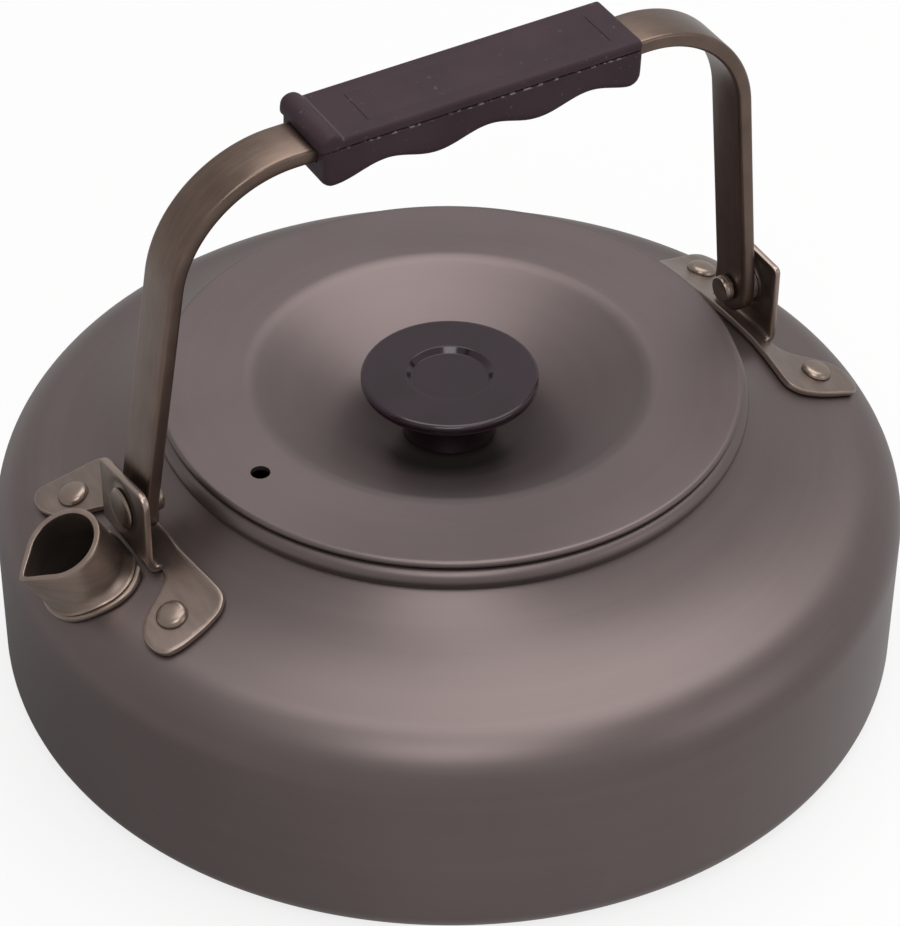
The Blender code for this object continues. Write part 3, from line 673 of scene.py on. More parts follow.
def leaf_point(u, y, height):
    """A point of the leaf, whose outline u, y is the one seen from above."""
    radius = math.hypot(u, y)
    shift = 1.0 - LEAF_ABOVE * math.sin(top_slope(radius)) / radius
    return over_body(u * shift, y * shift, height)


def bend_start(sign):
    """Where the flap's bend begins, so that the lug's inner face comes to its place."""
    slope = top_slope(LUG_INNER[sign] - BEND_RADIUS)
    return LUG_INNER[sign] - BEND_RADIUS * (1.0 + math.sin(slope)), slope


def bend_length(sign):
    """Length of the flat blank that goes into the bend."""
    return (BEND_RADIUS + SHEET / 2) * (math.pi / 2 + bend_start(sign)[1])


def bracket_point(sign, u, y, height):
    """Fold the flat blank: on the body's top, or round the bend and up the lug."""
    start, slope = bend_start(sign)
    if u <= start or abs(y) > LUG_HALF_WIDTH + 0.0002:
        point = leaf_point(u, y, height)
        return Vector((point.x * sign, point.y, point.z))
    bend = bend_length(sign)
    reach = BEND_RADIUS + LEAF_ABOVE - height
    foot = leaf_point(start, 0.0, LEAF_ABOVE).z + BEND_RADIUS * math.cos(slope)
    centre_z = leaf_point(start, y, LEAF_ABOVE).z + BEND_RADIUS * math.cos(slope)
    angle = min((u - start) / bend, 1.0) * (math.pi / 2 + slope) - slope
    x = LUG_INNER[sign] - BEND_RADIUS + reach * math.sin(angle)
    z = centre_z - reach * math.cos(angle)
    if u > start + bend:
        high = max(LUG_TOPS[sign])
        z = centre_z + (u - start - bend) * (high - centre_z) / (high - foot)
        away = (math.hypot(y, z - PIVOT_HEIGHT) - PRESSED_RADIUS) / 0.0009
        x -= PRESSED_DEPTH * math.exp(-away * away)
    return Vector((x * sign, y, z))


def rounded_corner(corner, before, after, radius, count=8):
    """Points of a round corner of an outline."""
    a = (Vector(before) - Vector(corner)).normalized()
    b = (Vector(after) - Vector(corner)).normalized()
    half = a.angle(b) / 2
    centre = Vector(corner) + (a + b).normalized() * radius / math.sin(half)
    first = (Vector(corner) + a * radius / math.tan(half) - centre).normalized()
    last = (Vector(corner) + b * radius / math.tan(half) - centre).normalized()
    return [tuple(centre + first.slerp(last, i / count) * radius) for i in range(count + 1)]


def through(points, count=6):
    """A smooth curve through an outline's points."""
    curve = []
    last = len(points) - 1
    for i in range(last):
        p0, p1, p2, p3 = (Vector(points[min(max(i + k, 0), last)]) for k in (-1, 0, 1, 2))
        for k in range(count):
            t = k / count
            bent = (2 * p0 - 5 * p1 + 4 * p2 - p3) * t * t + (3 * p1 - p0 - 3 * p2 + p3) * t ** 3
            curve.append(tuple((2 * p1 + (p2 - p0) * t + bent) / 2))
    return curve + [tuple(points[-1])]


def evened(points, spacing):
    """The closed outline with points an even spacing apart."""
    ring = [Vector(p) for p in points]
    ring.append(ring[0])
    lengths = [(b - a).length for a, b in zip(ring, ring[1:])]
    count = round(sum(lengths) / spacing)
    step = sum(lengths) / count
    made = []
    reached, i = 0.0, 0
    for k in range(count):
        while reached + lengths[i] < k * step:
            reached += lengths[i]
            i += 1
        made.append(ring[i].lerp(ring[i + 1], (k * step - reached) / lengths[i]))
    return made


def blank_outline(sign):
    """The blank's outline from two halves, each with its own corner on the lug."""
    start, slope = bend_start(sign)
    foot = leaf_point(start, 0.0, LEAF_ABOVE).z + BEND_RADIUS * math.cos(slope)
    side = LUG_HALF_WIDTH
    middle = sum(LUG_TOPS[sign]) / 2 - foot + start + bend_length(sign)
    halves = []
    for top, corner in zip(LUG_TOPS[sign], LUG_CORNERS[sign]):
        far = top - foot + start + bend_length(sign)
        half = rounded_corner((far, side), (middle, 0.0), (start, side), corner)
        half += [(start + 0.0006, side), (start - 0.0001, side + 0.0002)]
        half.append((start - 0.0001, side + 0.0005))
        lobe = [(u + LEAF_OUTSET[sign], y) for u, y in LOBE]
        half += through([(max(start + 0.0002, lobe[0][0] - 0.0006), side + 0.0009)] + lobe)
        halves.append(half)
    front, back = halves
    return evened(back + [(u, -y) for u, y in reversed(front)], 0.0004)


def inset_loop(outline, inset):
    """The outline moved inward by a small distance."""
    made = []
    for i, point in enumerate(outline):
        along = (outline[(i + 1) % len(outline)] - outline[i - 1]).normalized()
        made.append(point + Vector((-along.y, along.x)) * inset)
    return made


def filled(outline, spacing):
    """Triangles over a flat outline, with an even grid of points inside it."""
    low_x, high_x = min(p.x for p in outline), max(p.x for p in outline)
    low_y, high_y = min(p.y for p in outline), max(p.y for p in outline)
    near = kdtree.KDTree(len(outline))
    for i, point in enumerate(outline):
        near.insert(point.to_3d(), i)
    near.balance()
    points = list(outline)
    for i in range(1, int((high_x - low_x) / spacing)):
        for j in range(1, int((high_y - low_y) / spacing)):
            point = Vector((low_x + i * spacing, low_y + j * spacing))
            if near.find(point.to_3d())[2] > spacing * 0.45:
                points.append(point)
    count = len(outline)
    edges = [(i, (i + 1) % count) for i in range(count)]
    verts, _, faces, *_ = geometry.delaunay_2d_cdt(points, edges, [], 1, 0.0000001)
    return verts, faces


def bracket_mesh(name, sign, finish):
    outline = blank_outline(sign)
    area = sum(a.cross(b) for a, b in zip(outline, outline[1:] + outline[:1]))
    if area < 0:
        outline.reverse()
    edge = CUT_EDGE
    levels = [
        (edge, LEAF_ABOVE), (edge * 0.3, LEAF_ABOVE - edge * 0.3), (0.0, LEAF_ABOVE - edge),
        (0.0, LEAF_BELOW + edge), (edge * 0.3, LEAF_BELOW + edge * 0.3), (edge, LEAF_BELOW),
    ]
    bm = bmesh.new()
    cut = bm.verts.layers.float.new("cut_edge")
    rings = []
    for inset, height in levels:
        loop = inset_loop(outline, inset)
        rings.append([bm.verts.new(bracket_point(sign, p.x, p.y, height)) for p in loop])
        for vert in rings[-1]:
            vert[cut] = 1.0 if inset < edge else 0.0
    skin(bm, rings)
    verts, faces = filled(inset_loop(outline, edge), 0.0006)
    for height in (LEAF_ABOVE, LEAF_BELOW):
        made = [bm.verts.new(bracket_point(sign, p.x, p.y, height)) for p in verts]
        for face in faces:
            bm.faces.new([made[i] for i in face])
    bmesh.ops.remove_doubles(bm, verts=bm.verts, dist=0.000001)
    loose = [v for v in bm.verts if not v.link_faces]
    bmesh.ops.delete(bm, geom=loose, context="VERTS")
    return settled(from_bmesh(name, bm, finish))


BRACKET_BRONZE, BRACKET_SHADE = (0.240, 0.186, 0.160), (0.178, 0.137, 0.118)
BRACKET_GRAIN = (700.0, 90.0, 700.0)
bracket_finish = sheet_finish(
    "anodised_bracket_bronze", BRACKET_BRONZE, BRACKET_SHADE, 0.32, BRACKET_GRAIN, 1.35,
)
for sign, side in ((-1, "spout"), (1, "rear")):
    bracket = bracket_mesh(f"{side}_bracket_bent", sign, bracket_finish)
    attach(bracket, "kettle")
    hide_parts(f"{side}_bracket")


# BRACKET RIVETS
# Four low domed rivets of lighter metal hold the brackets down. They stand square to the
# top, and their tails are hammered flat inside the kettle.
RIVET_PLACE = (0.0718, 0.0203)
RIVET_HEAD = 0.0031
RIVET_HEIGHT = 0.0014
RIVET_SHANK = 0.0015
RIVET_TAIL = 0.0025
RIVET_BRONZE, RIVET_SHADE = (0.262, 0.205, 0.169), (0.198, 0.152, 0.124)
rivet_finish = sheet_finish("rivet_bronze", RIVET_BRONZE, RIVET_SHADE, 0.30, (300.0, 300.0, 300.0))

head_top = LEAF_ABOVE + RIVET_HEIGHT
tail_top = -BODY_WALL - 0.0003
rivet_section = [
    (0.0, head_top), (0.0010, head_top - 0.00003), (0.0018, head_top - 0.00010),
    (0.0023, head_top - 0.00022), (0.0027, head_top - 0.00045), (0.0030, head_top - 0.00085),
    (RIVET_HEAD, LEAF_ABOVE + 0.0002), (0.0030, LEAF_ABOVE + 0.00005), (RIVET_SHANK, LEAF_ABOVE),
    (RIVET_SHANK, tail_top), (RIVET_TAIL, tail_top), (0.0024, tail_top - 0.0006),
    (0.0018, tail_top - 0.0009), (0.0, tail_top - 0.0010),
]
rivet = turned("bracket_rivet", rivet_section, 40, rivet_finish)


def rivets_tree():
    """Geometry nodes that stand one rivet on every vertex, along its stored direction."""
    inputs = {"Places": "Geometry", "Rivet": "Object", "Finish": "Material"}
    sheet, places = begin_tree("rivets_square_to_the_top", inputs, "Rivets")
    one = sheet.node("GeometryNodeObjectInfo", None, {"Object": places.out("Rivet")}, "Geometry")
    kind = {"data_type": "FLOAT_VECTOR"}
    square = sheet.node("GeometryNodeInputNamedAttribute", kind, {"Name": "square"})
    turn = sheet.node("FunctionNodeAlignRotationToVector", {"axis": "Z"}, {"Vector": square})
    values = {"Points": places, "Instance": one, "Rotation": turn}
    shape = sheet.node("GeometryNodeInstanceOnPoints", None, values)
    return end_tree(sheet, shape, places.out("Finish"))


feet = []
for sign in (-1, 1):
    for y in (-RIVET_PLACE[1], RIVET_PLACE[1]):
        x = (RIVET_PLACE[0] + LEAF_OUTSET[sign]) * sign
        feet.append((over_body(x, y, 0.0), over_body(x, y, 1.0) - over_body(x, y, 0.0)))
mesh = bpy.data.meshes.new("bracket_rivets_set")
mesh.from_pydata([foot for foot, _ in feet], [], [])
square = mesh.attributes.new("square", "FLOAT_VECTOR", "POINT")
for item, (_, direction) in zip(square.data, feet):
    item.vector = direction
bracket_rivets = add_object("bracket_rivets_set", mesh)
run_tree(bracket_rivets, rivets_tree(), {"Rivet": rivet, "Finish": rivet_finish})
bracket_rivets = settled(bracket_rivets)
bpy.data.objects.remove(rivet, do_unlink=True)
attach(bracket_rivets, "kettle")
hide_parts(*[f"{side}_bracket_rivet_{i}" for side in ("spout", "rear") for i in (1, 2)])


# PIVOT RIVETS AND WASHERS
# A larger rivet with a flat button inside the bail and a wide flat head outside the lug
# carries each end of the bail, and a plain washer keeps the bar off the lug.
BAIL_FOOT = 0.0692
BAIL_THICKNESS = 0.0031
PIVOT_RADIUS = 0.0020
GAP = 0.0003
PIVOT_HEAD = [
    (0.0, 0.0007), (0.0026, 0.00068), (0.0034, 0.00060), (0.0038, 0.00046), (0.0040, 0.0003),
    (0.0041, 0.00015), (0.0040, 0.0),
]
PIVOT_BUTTON = [
    (0.0026, 0.0), (0.0028, 0.0002), (0.0028, 0.0009), (0.0027, 0.0010), (0.0027, 0.0016),
    (0.00255, 0.0019), (0.0023, 0.0020), (0.0, 0.0020),
]


def pivot_matrix(sign):
    """Local Z outward along the bail's pivot axis on one side."""
    across = Matrix.Rotation(math.radians(90 * sign), 4, "Y")
    return Matrix.Translation((0.0, 0.0, PIVOT_HEIGHT)) @ across


for sign, side in ((-1, "spout"), (1, "rear")):
    inner_face = BAIL_FOOT - BAIL_THICKNESS - GAP
    outer_face = LUG_INNER[sign] + SHEET + 0.0002
    section = [(radius, outer_face + rise) for radius, rise in PIVOT_HEAD]
    section += [(PIVOT_RADIUS, outer_face), (PIVOT_RADIUS, inner_face)]
    section += [(radius, inner_face - drop) for radius, drop in PIVOT_BUTTON]
    pivot = turned(f"{side}_pivot_rivet_turned", section, 48, rivet_finish)
    pivot.data.transform(pivot_matrix(sign))
    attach(pivot, "kettle")
    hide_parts(f"{side}_pivot_rivet")

WASHER_RADIUS = 0.0042
STEEL, STEEL_SHADE = (0.46, 0.43, 0.40), (0.36, 0.34, 0.31)
washer_finish = sheet_finish("plain_steel_washer", STEEL, STEEL_SHADE, 0.26, (600.0, 600.0, 600.0))
for sign, side in ((-1, "spout"), (1, "rear")):
    low, high = BAIL_FOOT + GAP / 2, LUG_INNER[sign] - GAP / 2
    bore, edge = PIVOT_RADIUS + GAP, 0.0001
    section = [(bore, high), (WASHER_RADIUS - edge, high), (WASHER_RADIUS, high - edge)]
    section += [(WASHER_RADIUS, low + edge), (WASHER_RADIUS - edge, low), (bore, low), (bore, high)]
    washer = turned(f"{side}_pivot_washer_turned", section, 48, washer_finish)
    washer.data.transform(pivot_matrix(sign))
    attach(washer, "kettle")
    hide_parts(f"{side}_pivot_washer")


# LID
# The lid is spun from the same sheet: a flat rim hemmed under at its edge, a skirt that
# drops into the collar, and a deep dish that lets the knob sit level with the rim.
LID_TOP = 0.06345
LID_RADIUS = 0.05715
LID_SHEET = 0.00095
LID_HEM = 0.0015
LID_HEM_INNER = 0.0537
SKIRT_RADIUS = 0.0533
SKIRT_BOTTOM = 0.0578
SKIRT_WALL = 0.0008
DISH_FLOOR = 0.0500
DISH_SLOPE = math.radians(26.6)
DISH_EDGE = 0.0389
DISH_ROUND = 0.0075
DISH_SEAT_ROUND = 0.0120
VENT_PLACE = (-0.0465, -0.0082)
VENT_RADIUS = 0.0019
SCREW_BORE = 0.0019


def straight(start, end, steps):
    """Points that part the way from one place to another into equal steps."""
    run, rise = end[0] - start[0], end[1] - start[1]
    return [(start[0] + run * i / steps, start[1] + rise * i / steps) for i in range(1, steps)]


def dish_curve(offset):
    """The dish from its floor to the flat rim, moved down by the sheet's thickness."""
    upper, lower = DISH_ROUND - offset, DISH_SEAT_ROUND + offset
    run = (LID_TOP - DISH_FLOOR) / math.tan(DISH_SLOPE)
    foot = DISH_EDGE - run - DISH_SEAT_ROUND * math.tan(DISH_SLOPE / 2)
    top = DISH_EDGE + DISH_ROUND * math.tan(DISH_SLOPE / 2)
    degrees = math.degrees(DISH_SLOPE)
    curve = arc((foot, DISH_FLOOR + DISH_SEAT_ROUND), lower, -90.0, degrees - 90.0, 10)
    rim = arc((top, LID_TOP - DISH_ROUND), upper, 90.0 + degrees, 90.0, 10)
    return curve + straight(curve[-1], rim[0], 12) + rim


under, underside = LID_TOP - LID_HEM, DISH_FLOOR - LID_SHEET
edge, inside = LID_RADIUS - LID_HEM / 2, SKIRT_RADIUS - SKIRT_WALL
section = [(SCREW_BORE, DISH_FLOOR), (0.0060, DISH_FLOOR)] + dish_curve(0.0)
section += [(0.0440, LID_TOP), (0.0500, LID_TOP), (edge - 0.0004, LID_TOP)]
section += arc((edge, LID_TOP - LID_HEM / 2), LID_HEM / 2, 84.0, -84.0, 14)
section += [(edge - 0.0004, under), (LID_HEM_INNER, under), (SKIRT_RADIUS, under - 0.0004)]
section += [(SKIRT_RADIUS, SKIRT_BOTTOM + 0.0002), (SKIRT_RADIUS - 0.0002, SKIRT_BOTTOM)]
section += [(inside + 0.0002, SKIRT_BOTTOM), (inside, SKIRT_BOTTOM + 0.0002)]
section += [(inside, LID_TOP - LID_SHEET), (0.0480, LID_TOP - LID_SHEET)]
section += dish_curve(LID_SHEET)[::-1]
section += [(0.0060, underside), (SCREW_BORE, underside), (SCREW_BORE, DISH_FLOOR)]
LID_GREY, LID_GREY_SHADE = (0.151, 0.119, 0.117), (0.130, 0.101, 0.100)
lid_finish = spun_finish("anodised_lid_grey", LID_GREY, LID_GREY_SHADE, 0.42)
lid = turned("lid_spun", section, 216, lid_finish)
lid = drilled(lid, VENT_RADIUS, -0.003, 0.003, Matrix.Translation((*VENT_PLACE, LID_TOP)), 40)
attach(lid, "lid")
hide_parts("lid_shell")


# KNOB
# A black moulding with a broad flat top, a shallow round recess in it, a rim made of a
# rounded edge over a thin lip, and a plain neck that stands on the dish.
KNOB_RADIUS = 0.0174
KNOB_TOP = 0.0634
KNOB_NECK = 0.0092
KNOB_UNDERSIDE = 0.0587
KNOB_ROUND = 0.00075
RECESS_RADIUS = 0.00845
RECESS_FLOOR = 0.0076
RECESS_DEPTH = 0.0010
INSERT_RADIUS = 0.0035
INSERT_TOP = 0.0580


def moulding_finish(name, colour, shade, roughness, shine, grain):
    """Black plastic as it leaves the mould, with a very fine grain and slight clouding."""
    material, sheet, shader, place = new_finish(name)
    cloud = sheet.noise(place, 90.0, 4.0)
    fine = sheet.noise(place, 2600.0, 2.0)
    sheet.feeds(shader, {
        "Base Color": sheet.mix((cloud - 0.3) / 0.4, (*shade, 1.0), (*colour, 1.0)),
        "Roughness": roughness - 0.04 + cloud * 0.08,
        "Specular IOR Level": shine,
        "Normal": sheet.bump(fine, grain, 0.00005),
    })
    return material, sheet


floor_z, socket = DISH_FLOOR + GAP, INSERT_RADIUS + GAP
lip, recess = KNOB_TOP - 2 * KNOB_ROUND, KNOB_TOP - RECESS_DEPTH
foot = RECESS_FLOOR - 0.00012
section = [(0.0, recess), (0.0035, recess), (RECESS_FLOOR - 0.0007, recess), (foot, recess)]
section += arc((foot, recess + 0.00016), 0.00016, -90.0, -35.0, 4)
section += arc((RECESS_RADIUS + 0.00020, KNOB_TOP - 0.00030), 0.00030, 145.0, 90.0, 5)
section += [(RECESS_RADIUS + 0.0007, KNOB_TOP), (0.0120, KNOB_TOP)]
section += [(KNOB_RADIUS - KNOB_ROUND - 0.0003, KNOB_TOP)]
section += arc((KNOB_RADIUS - KNOB_ROUND, KNOB_TOP - KNOB_ROUND), KNOB_ROUND, 84.0, -50.0, 12)
for inward, drop in (
    (0.00035, 0.00002), (0.00002, 0.00012), (0.0, 0.00028), (0.0001, 0.00045), (0.0006, 0.00055),
):
    section.append((KNOB_RADIUS - inward, lip - drop))
for outward, rise in ((0.0022, 0.0010), (0.0009, 0.0002), (0.0002, -0.0008), (0.0, -0.0020)):
    section.append((KNOB_NECK + outward, KNOB_UNDERSIDE + rise))
section += [(KNOB_NECK, floor_z + 0.0003), (KNOB_NECK - 0.0003, floor_z), (socket, floor_z)]
section += [(socket, INSERT_TOP + GAP), (0.0, INSERT_TOP + GAP)]
KNOB_BLACK, KNOB_SHADE = (0.024, 0.010, 0.017), (0.018, 0.008, 0.012)
knob_finish, _ = moulding_finish("knob_black_moulding", KNOB_BLACK, KNOB_SHADE, 0.13, 0.40, 0.01)
knob = turned("lid_knob_moulded", section, 128, knob_finish)
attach(knob, "lid")
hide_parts("lid_knob")


# SCREW, WASHER AND BUSH
# A plain screw with a domed, cross-recessed head comes up through a washer and the dish
# into a turned brass bush that is moulded into the knob's neck.
SCREW_RADIUS = 0.0016
SCREW_TIP = 0.0560
SCREW_HEAD_RADIUS = 0.0038
SCREW_HEAD_HEIGHT = 0.0022
SCREW_HEAD_SIDE = 0.0006
THREAD_PITCH = 0.0007
CROSS_WIDE = 0.0008
CROSS_LONG = 0.0040
CROSS_DEEP = 0.0012
SCREW_WASHER_RADIUS = 0.0055
SCREW_WASHER_HEIGHT = 0.0007
BUSH_BORE = 0.0019

seat = DISH_FLOOR - LID_SHEET - 2 * GAP - SCREW_WASHER_HEIGHT
section = [(0.0, SCREW_TIP), (SCREW_RADIUS - 0.0004, SCREW_TIP)]
turns = int((SCREW_TIP - seat) / THREAD_PITCH)
for i in range(turns):
    high = SCREW_TIP - 0.0003 - i * THREAD_PITCH
    section += [(SCREW_RADIUS - 0.0003, high), (SCREW_RADIUS, high - THREAD_PITCH / 2)]
section += [(SCREW_RADIUS - 0.0002, seat), (SCREW_HEAD_RADIUS - 0.0002, seat)]
section.append((SCREW_HEAD_RADIUS, seat - 0.0002))
head_side = seat - SCREW_HEAD_SIDE
head_dome = SCREW_HEAD_HEIGHT - SCREW_HEAD_SIDE
for r, z in arc((0.0, 0.0), 1.0, 0.0, -90.0, 10):
    section.append((r * SCREW_HEAD_RADIUS, head_side + z * head_dome))
screw = turned("knob_screw_turned", section, 40, washer_finish)
for along in (0.0, math.pi / 2):
    bm = bmesh.new()
    place = Matrix.Translation((0.0, 0.0, seat - SCREW_HEAD_HEIGHT))
    place = place @ Matrix.Rotation(along, 4, "Z")
    size = Matrix.Diagonal((CROSS_LONG, CROSS_WIDE, 2 * CROSS_DEEP, 1.0))
    bmesh.ops.create_cube(bm, size=1.0, matrix=place @ size)
    screw = cut_by(screw, bm)

high = DISH_FLOOR - LID_SHEET - GAP
low = high - SCREW_WASHER_HEIGHT
bore, rim, edge = SCREW_RADIUS + GAP, SCREW_WASHER_RADIUS, 0.0001
section = [(bore, high), (rim - edge, high), (rim, high - edge), (rim, low + edge)]
section += [(rim - edge, low), (bore, low), (bore, high)]
under_washer = turned("knob_washer_turned", section, 48, washer_finish)

BRASS, BRASS_SHADE, BRASS_GRAIN = (0.60, 0.43, 0.18), (0.50, 0.35, 0.14), (150.0, 150.0, 2400.0)
brass_finish = sheet_finish("turned_brass", BRASS, BRASS_SHADE, 0.30, BRASS_GRAIN)
low, high = DISH_FLOOR + GAP, INSERT_TOP
section = [(BUSH_BORE, high), (INSERT_RADIUS - 0.0003, high), (INSERT_RADIUS, high - 0.0003)]
for i in range(3):
    groove = high - 0.0020 - i * 0.0018
    section += [(INSERT_RADIUS, groove), (INSERT_RADIUS - 0.0003, groove - 0.0002)]
    section += [(INSERT_RADIUS - 0.0003, groove - 0.0006), (INSERT_RADIUS, groove - 0.0008)]
section += [(INSERT_RADIUS, low + 0.0002), (INSERT_RADIUS - 0.0002, low)]
section += [(BUSH_BORE, low), (BUSH_BORE, high)]
bush = turned("knob_insert_turned", section, 48, brass_finish)
for obj, node, slot in (
    (screw, "knob_screw", "plain_steel"),
    (under_washer, "knob_washer", "plain_steel"),
    (bush, "knob_insert", "insert_brass"),
):
    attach(obj, "lid")
    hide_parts(node)


# BAIL
# One length of 10 x 3 mm flat bar with rounded edges, anodised bronze, bent at both top
# corners and slightly at the knees, and rounded off at the feet round the pivot rivets.
BAIL_LEAN = math.radians(2.97)
BAIL_WIDTH = 0.0100
BAIL_TOP = 0.0729
BAIL_CORNER = 0.0258
BAIL_SPLAY = math.radians(7.3)
BAIL_FOOT_BELOW = 0.0052
KNEE_HEIGHT = 0.0030
KNEE_RADIUS = 0.0200
BAR_EDGE = 0.00075
hinge = Matrix.Translation((0.0, 0.0, PIVOT_HEIGHT)) @ Matrix.Rotation(BAIL_LEAN, 4, "X")


def bail_half_line():
    """Mid-line of the bar from the middle of its top to one foot, as (x, z)."""
    half = BAIL_THICKNESS / 2
    rise = (BAIL_TOP - BAIL_CORNER - KNEE_HEIGHT) * math.sin(BAIL_SPLAY)
    corner_x = BAIL_FOOT - (BAIL_CORNER + rise) / math.cos(BAIL_SPLAY)
    splay = math.degrees(BAIL_SPLAY)
    line = [(corner_x * i / 8, BAIL_TOP - half) for i in range(8)]
    line += arc((corner_x, BAIL_TOP - BAIL_CORNER), BAIL_CORNER - half, 90.0, splay, 36)
    knee_x = BAIL_FOOT - KNEE_RADIUS
    knee_z = KNEE_HEIGHT - KNEE_RADIUS * math.tan(BAIL_SPLAY / 2)
    knee = arc((knee_x, knee_z), KNEE_RADIUS - half, splay, 0.0, 8)
    line += straight(line[-1], knee[0], 8) + knee
    start = knee[-1][1]
    for i in range(1, 25):
        share = math.sin(math.pi / 2 * i / 24)
        line.append((BAIL_FOOT - half, start + (-BAIL_FOOT_BELOW - start) * share))
    return line


def bar_tree():
    """Geometry nodes that sweep a flat bar with rounded edges along its mid-line."""
    sizes = ("Width", "Thickness", "Edge Radius", "Foot Centre")
    inputs = {"Mid-line": "Geometry", **dict.fromkeys(sizes, "Float"), "Finish": "Material"}
    sheet, line = begin_tree("flat_bar_along_a_line", inputs, "Bar")
    width = line.out("Width")
    path = sheet.node("GeometryNodeMeshToCurve", None, {"Mesh": line})
    flat = {"Curve": path, "Normal": (0.0, 1.0, 0.0)}
    path = sheet.node("GeometryNodeSetCurveNormal", {"mode": "FREE"}, flat)
    sizes = {"Width": width, "Height": line.out("Thickness")}
    section = sheet.node("GeometryNodeCurvePrimitiveQuadrilateral", None, sizes)
    corners = {"Curve": section, "Radius": line.out("Edge Radius"), "Count": 4}
    section = sheet.node("GeometryNodeFilletCurve", {"mode": "POLY"}, corners)
    swept = {"Curve": path, "Profile Curve": section, "Fill Caps": True}
    bar = sheet.node("GeometryNodeCurveToMesh", None, swept)
    x, y, z = sheet.parts(sheet.node("GeometryNodeInputPosition"))
    half = width / 2.0
    below = (line.out("Foot Centre") - z).at_least(0.0).at_most(half)
    narrowed = (1.0 - (below / half) ** 2.0).at_least(0.012).root()
    moved = {"Geometry": bar, "Position": sheet.joined(x, y * narrowed, z)}
    bar = sheet.node("GeometryNodeSetPosition", None, moved)
    return end_tree(sheet, bar, line.out("Finish"))


BAIL_BRONZE, BAIL_SHADE = (0.168, 0.119, 0.096), (0.124, 0.086, 0.069)
BAIL_GRAIN = (160.0, 1400.0, 160.0)
bail_finish = sheet_finish("anodised_bail_bronze", BAIL_BRONZE, BAIL_SHADE, 0.32, BAIL_GRAIN)
half = bail_half_line()
line = [(-x, z) for x, z in half[:0:-1]] + half
mesh = bpy.data.meshes.new("bail_bar_bent")
mesh.from_pydata([(x, 0.0, z) for x, z in line], [(i, i + 1) for i in range(len(line) - 1)], [])
bail = add_object("bail_bar_bent", mesh)
sizes = {"Width": BAIL_WIDTH, "Thickness": BAIL_THICKNESS, "Edge Radius": BAR_EDGE}
sizes["Foot Centre"] = BAIL_WIDTH / 2 - BAIL_FOOT_BELOW
run_tree(bail, bar_tree(), sizes | {"Finish": bail_finish})
bail = settled(bail)
for sign in (-1, 1):
    across = Matrix.Rotation(math.radians(90 * sign), 4, "Y")
    bail = drilled(bail, PIVOT_RADIUS + 0.0001, 0.060, 0.075, across, 32)
bail.data.transform(hinge)
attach(bail, "bail")
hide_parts("bail_bar")


# GRIP
# Two dark moulded halves close round the bar: a finger-grooved tray below and a flat cap
# above it. The cap has a fine sunk outline on its top and a rounded ridge at one end.
GRIP_LEFT = -0.0332
GRIP_RIGHT = 0.0341
GRIP_WIDE = 0.0078
GRIP_TOP = 0.0754
GRIP_PARTING = 0.07335
GRIP_BOTTOM = 0.0658
PARTING_GAP = 0.00012
TRAY_CORNER = 0.0023
CAP_EDGE = 0.0008
GROOVE_DEPTH = 0.0011
GROOVE_PITCH = 0.0216
GROOVE_START = -0.0093
CAP_LEFT = -0.0340
RIDGE_CREST = -0.0317
RIDGE_CREASE = -0.0294
RIDGE_RISE = 0.0013
LINE_BOX = (-0.0227, 0.0286, -0.00465, 0.0041)
LINE_WIDTH = 0.00018
LINE_DEPTH = 0.00005
END_LINE_DEPTH = 0.00014


def rounded_end(x, low, high, radius):
    """How far a round edge has drawn in at x, near either end of a length."""
    reach = max(radius - min(x - low, high - x), 0.0)
    return radius - math.sqrt(max(radius ** 2 - reach ** 2, 0.0))


def grip_bottom(x):
    wave = math.cos(2 * math.pi * (x - GROOVE_START) / GROOVE_PITCH)
    return GRIP_BOTTOM - GROOVE_DEPTH * wave


def stations(low, high, radius, spacing):
    """Places along the grip, closer together round its ends."""
    ends = [radius * (1 - math.cos(math.pi / 2 * i / 6)) for i in range(7)]
    count = round((high - low - 2 * radius) / spacing)
    middle = [low + radius + (high - low - 2 * radius) * i / count for i in range(1, count)]
    return [low + end for end in ends] + middle + [high - end for end in reversed(ends)]


def lofted(name, sections, finish):
    """A closed solid through like sections, capped at both ends."""
    bm = bmesh.new()
    loops = [[bm.verts.new(point) for point in section] for section in sections]
    skin(bm, loops)
    bm.faces.new(loops[0])
    bm.faces.new(loops[-1])
    made = from_bmesh(name, bm, finish)
    made.data.transform(hinge)
    return settled(made)


def mirrored(points):
    """The points of one side again on the other side, in the reversed order."""
    return [(-y, z) for y, z in reversed(points)]


def tray_section(x):
    """Finger side of the grip, with the bar's channel open at the parting."""
    drawn = rounded_end(x, GRIP_LEFT, GRIP_RIGHT, 0.0007)
    low = grip_bottom(x) + rounded_end(x, GRIP_LEFT, GRIP_RIGHT, 0.0024)
    wide = GRIP_WIDE - drawn
    top = GRIP_PARTING - PARTING_GAP
    corner = TRAY_CORNER
    half = [(wide - 0.0002, top), (wide, top - 0.0002)]
    half += [(wide, low + corner + (top - low - corner) * share) for share in (0.7, 0.4)]
    half += arc((wide - corner, low + corner), corner, 0.0, -90.0, 8)
    channel = BAIL_WIDTH / 2 + 0.0001
    floor = BAIL_TOP - BAIL_THICKNESS - 0.0001
    inside = [(channel, floor), (channel, top)]
    points = half + mirrored(half) + mirrored(inside) + inside
    return [(x, y, z) for y, z in points]


def ridge(x):
    """Rise of the rounded ridge over the cap's flat top."""
    if x >= RIDGE_CREASE:
        return 0.0
    if x >= RIDGE_CREST:
        share = (x - RIDGE_CREST) / (RIDGE_CREASE - RIDGE_CREST)
        return RIDGE_RISE * (1 - share ** 2.2)
    share = (RIDGE_CREST - x) / (RIDGE_CREST - CAP_LEFT)
    return RIDGE_RISE - 0.0023 * (1 - math.sqrt(max(1 - share * share, 0.0)))


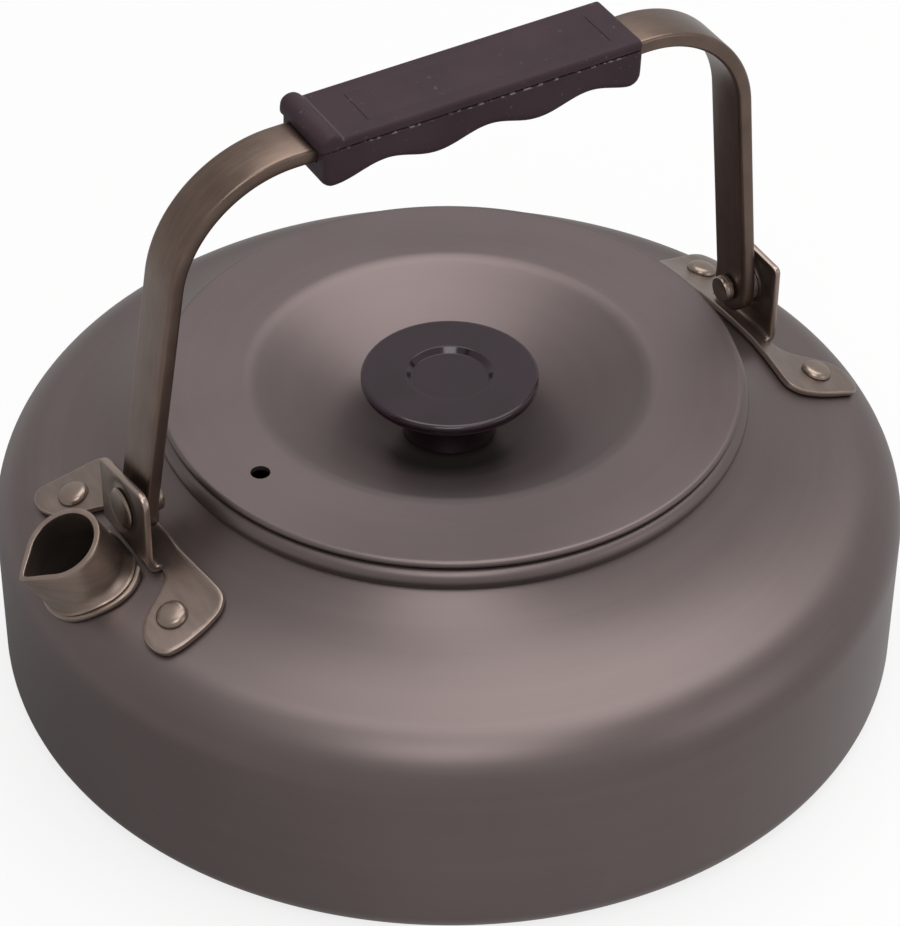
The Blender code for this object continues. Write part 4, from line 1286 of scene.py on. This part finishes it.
def cap_section(x):
    """Palm side of the grip: a flat cap with its sunk outline and the ridge."""
    rise = ridge(x)
    drawn = rounded_end(x, CAP_LEFT, GRIP_RIGHT, 0.0008)
    wide = GRIP_WIDE - drawn + 0.0002 * max(rise, 0.0) / RIDGE_RISE
    top = GRIP_TOP + rise - (drawn if x > 0.0 else 0.0)
    low = GRIP_PARTING + PARTING_GAP
    edge = CAP_EDGE
    half = [(wide - 0.0002, low), (wide, low + 0.0002)]
    half += arc((wide - edge, top - edge), edge, 0.0, 90.0, 6)
    left, right, front, back = LINE_BOX
    across = []
    for line in (back, front):
        across += [line + LINE_WIDTH * k for k in (1.0, 0.35, -0.35, -1.0)]
    face = []
    for y in across:
        depth = 0.0
        if left < x < right and min(abs(y - back), abs(y - front)) < LINE_WIDTH * 0.5:
            depth = LINE_DEPTH
        if min(abs(x - left), abs(x - right)) < LINE_WIDTH * 0.5 and front < y < back:
            depth = END_LINE_DEPTH
        face.append((y, top - depth))
    return [(x, y, z) for y, z in half + face + mirrored(half)]


GRIP_DARK, GRIP_SHADE = (0.050, 0.031, 0.037), (0.038, 0.024, 0.029)
# Grey of the dust specks and the parting flecks, and also of a painted highlight along the ridge's
# crease.
DUST_AND_HIGHLIGHT_GREY = (0.33, 0.29, 0.29, 1.0)
FLECK_REACH, CREASE_REACH = 0.00030, 0.00045
FLECK_SHARE, FLECK_SLOPE = 0.53, 14.0
SPECK_SHARE, SPECK_SLOPE, SPECK_MOST = 0.70, 4.0, 0.14
CREASE_MOST = 0.16
grip_finish, sheet = moulding_finish("grip_dark_moulding", GRIP_DARK, GRIP_SHADE, 0.48, 0.09, 0.10)
shader = grip_finish.node_tree.nodes["Principled BSDF"]
dark = Wire(sheet, shader.inputs["Base Color"].links[0].from_socket)
place = sheet.node("ShaderNodeTexCoord", output="Object")
x, y, z = sheet.parts(place)
height = (z - PIVOT_HEIGHT) * math.cos(BAIL_LEAN) - y * math.sin(BAIL_LEAN)
flecks = sheet.noise(place, 620.0, 3.0)
specks = sheet.noise(place, 900.0, 2.0)
near_line = (1.0 - abs(height - GRIP_PARTING + 0.0001) / FLECK_REACH).at_least(0.0)
flecks_dust_and_highlight = near_line * ((flecks - FLECK_SHARE) * FLECK_SLOPE).at_least(0.0).at_most(1.0)
dust = ((specks - SPECK_SHARE) * SPECK_SLOPE).at_least(0.0).at_most(SPECK_MOST)
on_top = height > GRIP_TOP - 0.0004
# Painted highlight: a pale line on the cap's top along the ridge's crease, where the ridge's flank
# catches the light.
crease = (1.0 - abs(x - RIDGE_CREASE) / CREASE_REACH).at_least(0.0) * on_top * CREASE_MOST
flecks_dust_and_highlight = flecks_dust_and_highlight.at_least(dust).at_least(crease)
sheet.feed(shader.inputs["Base Color"], sheet.mix(flecks_dust_and_highlight, dark, DUST_AND_HIGHLIGHT_GREY))
places = stations(GRIP_LEFT, GRIP_RIGHT, 0.0024, 0.0006)
tray = lofted("grip_lower_moulded", [tray_section(x) for x in places], grip_finish)
places = stations(CAP_LEFT, GRIP_RIGHT, 0.0010, 0.0008)
places += [CAP_LEFT + (RIDGE_CREASE - CAP_LEFT) * i / 24 for i in range(4, 25)]
for line in LINE_BOX[:2]:
    places += [line + LINE_WIDTH * k for k in (-1.0, -0.35, 0.35, 1.0)]
places = sorted(places)
places = [x for i, x in enumerate(places) if i == 0 or x - places[i - 1] > 0.00003]
cap = lofted("grip_upper_moulded", [cap_section(x) for x in places], grip_finish)
for half, node in ((tray, "grip_lower_half"), (cap, "grip_upper_half")):
    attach(half, "bail")
    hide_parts(node)
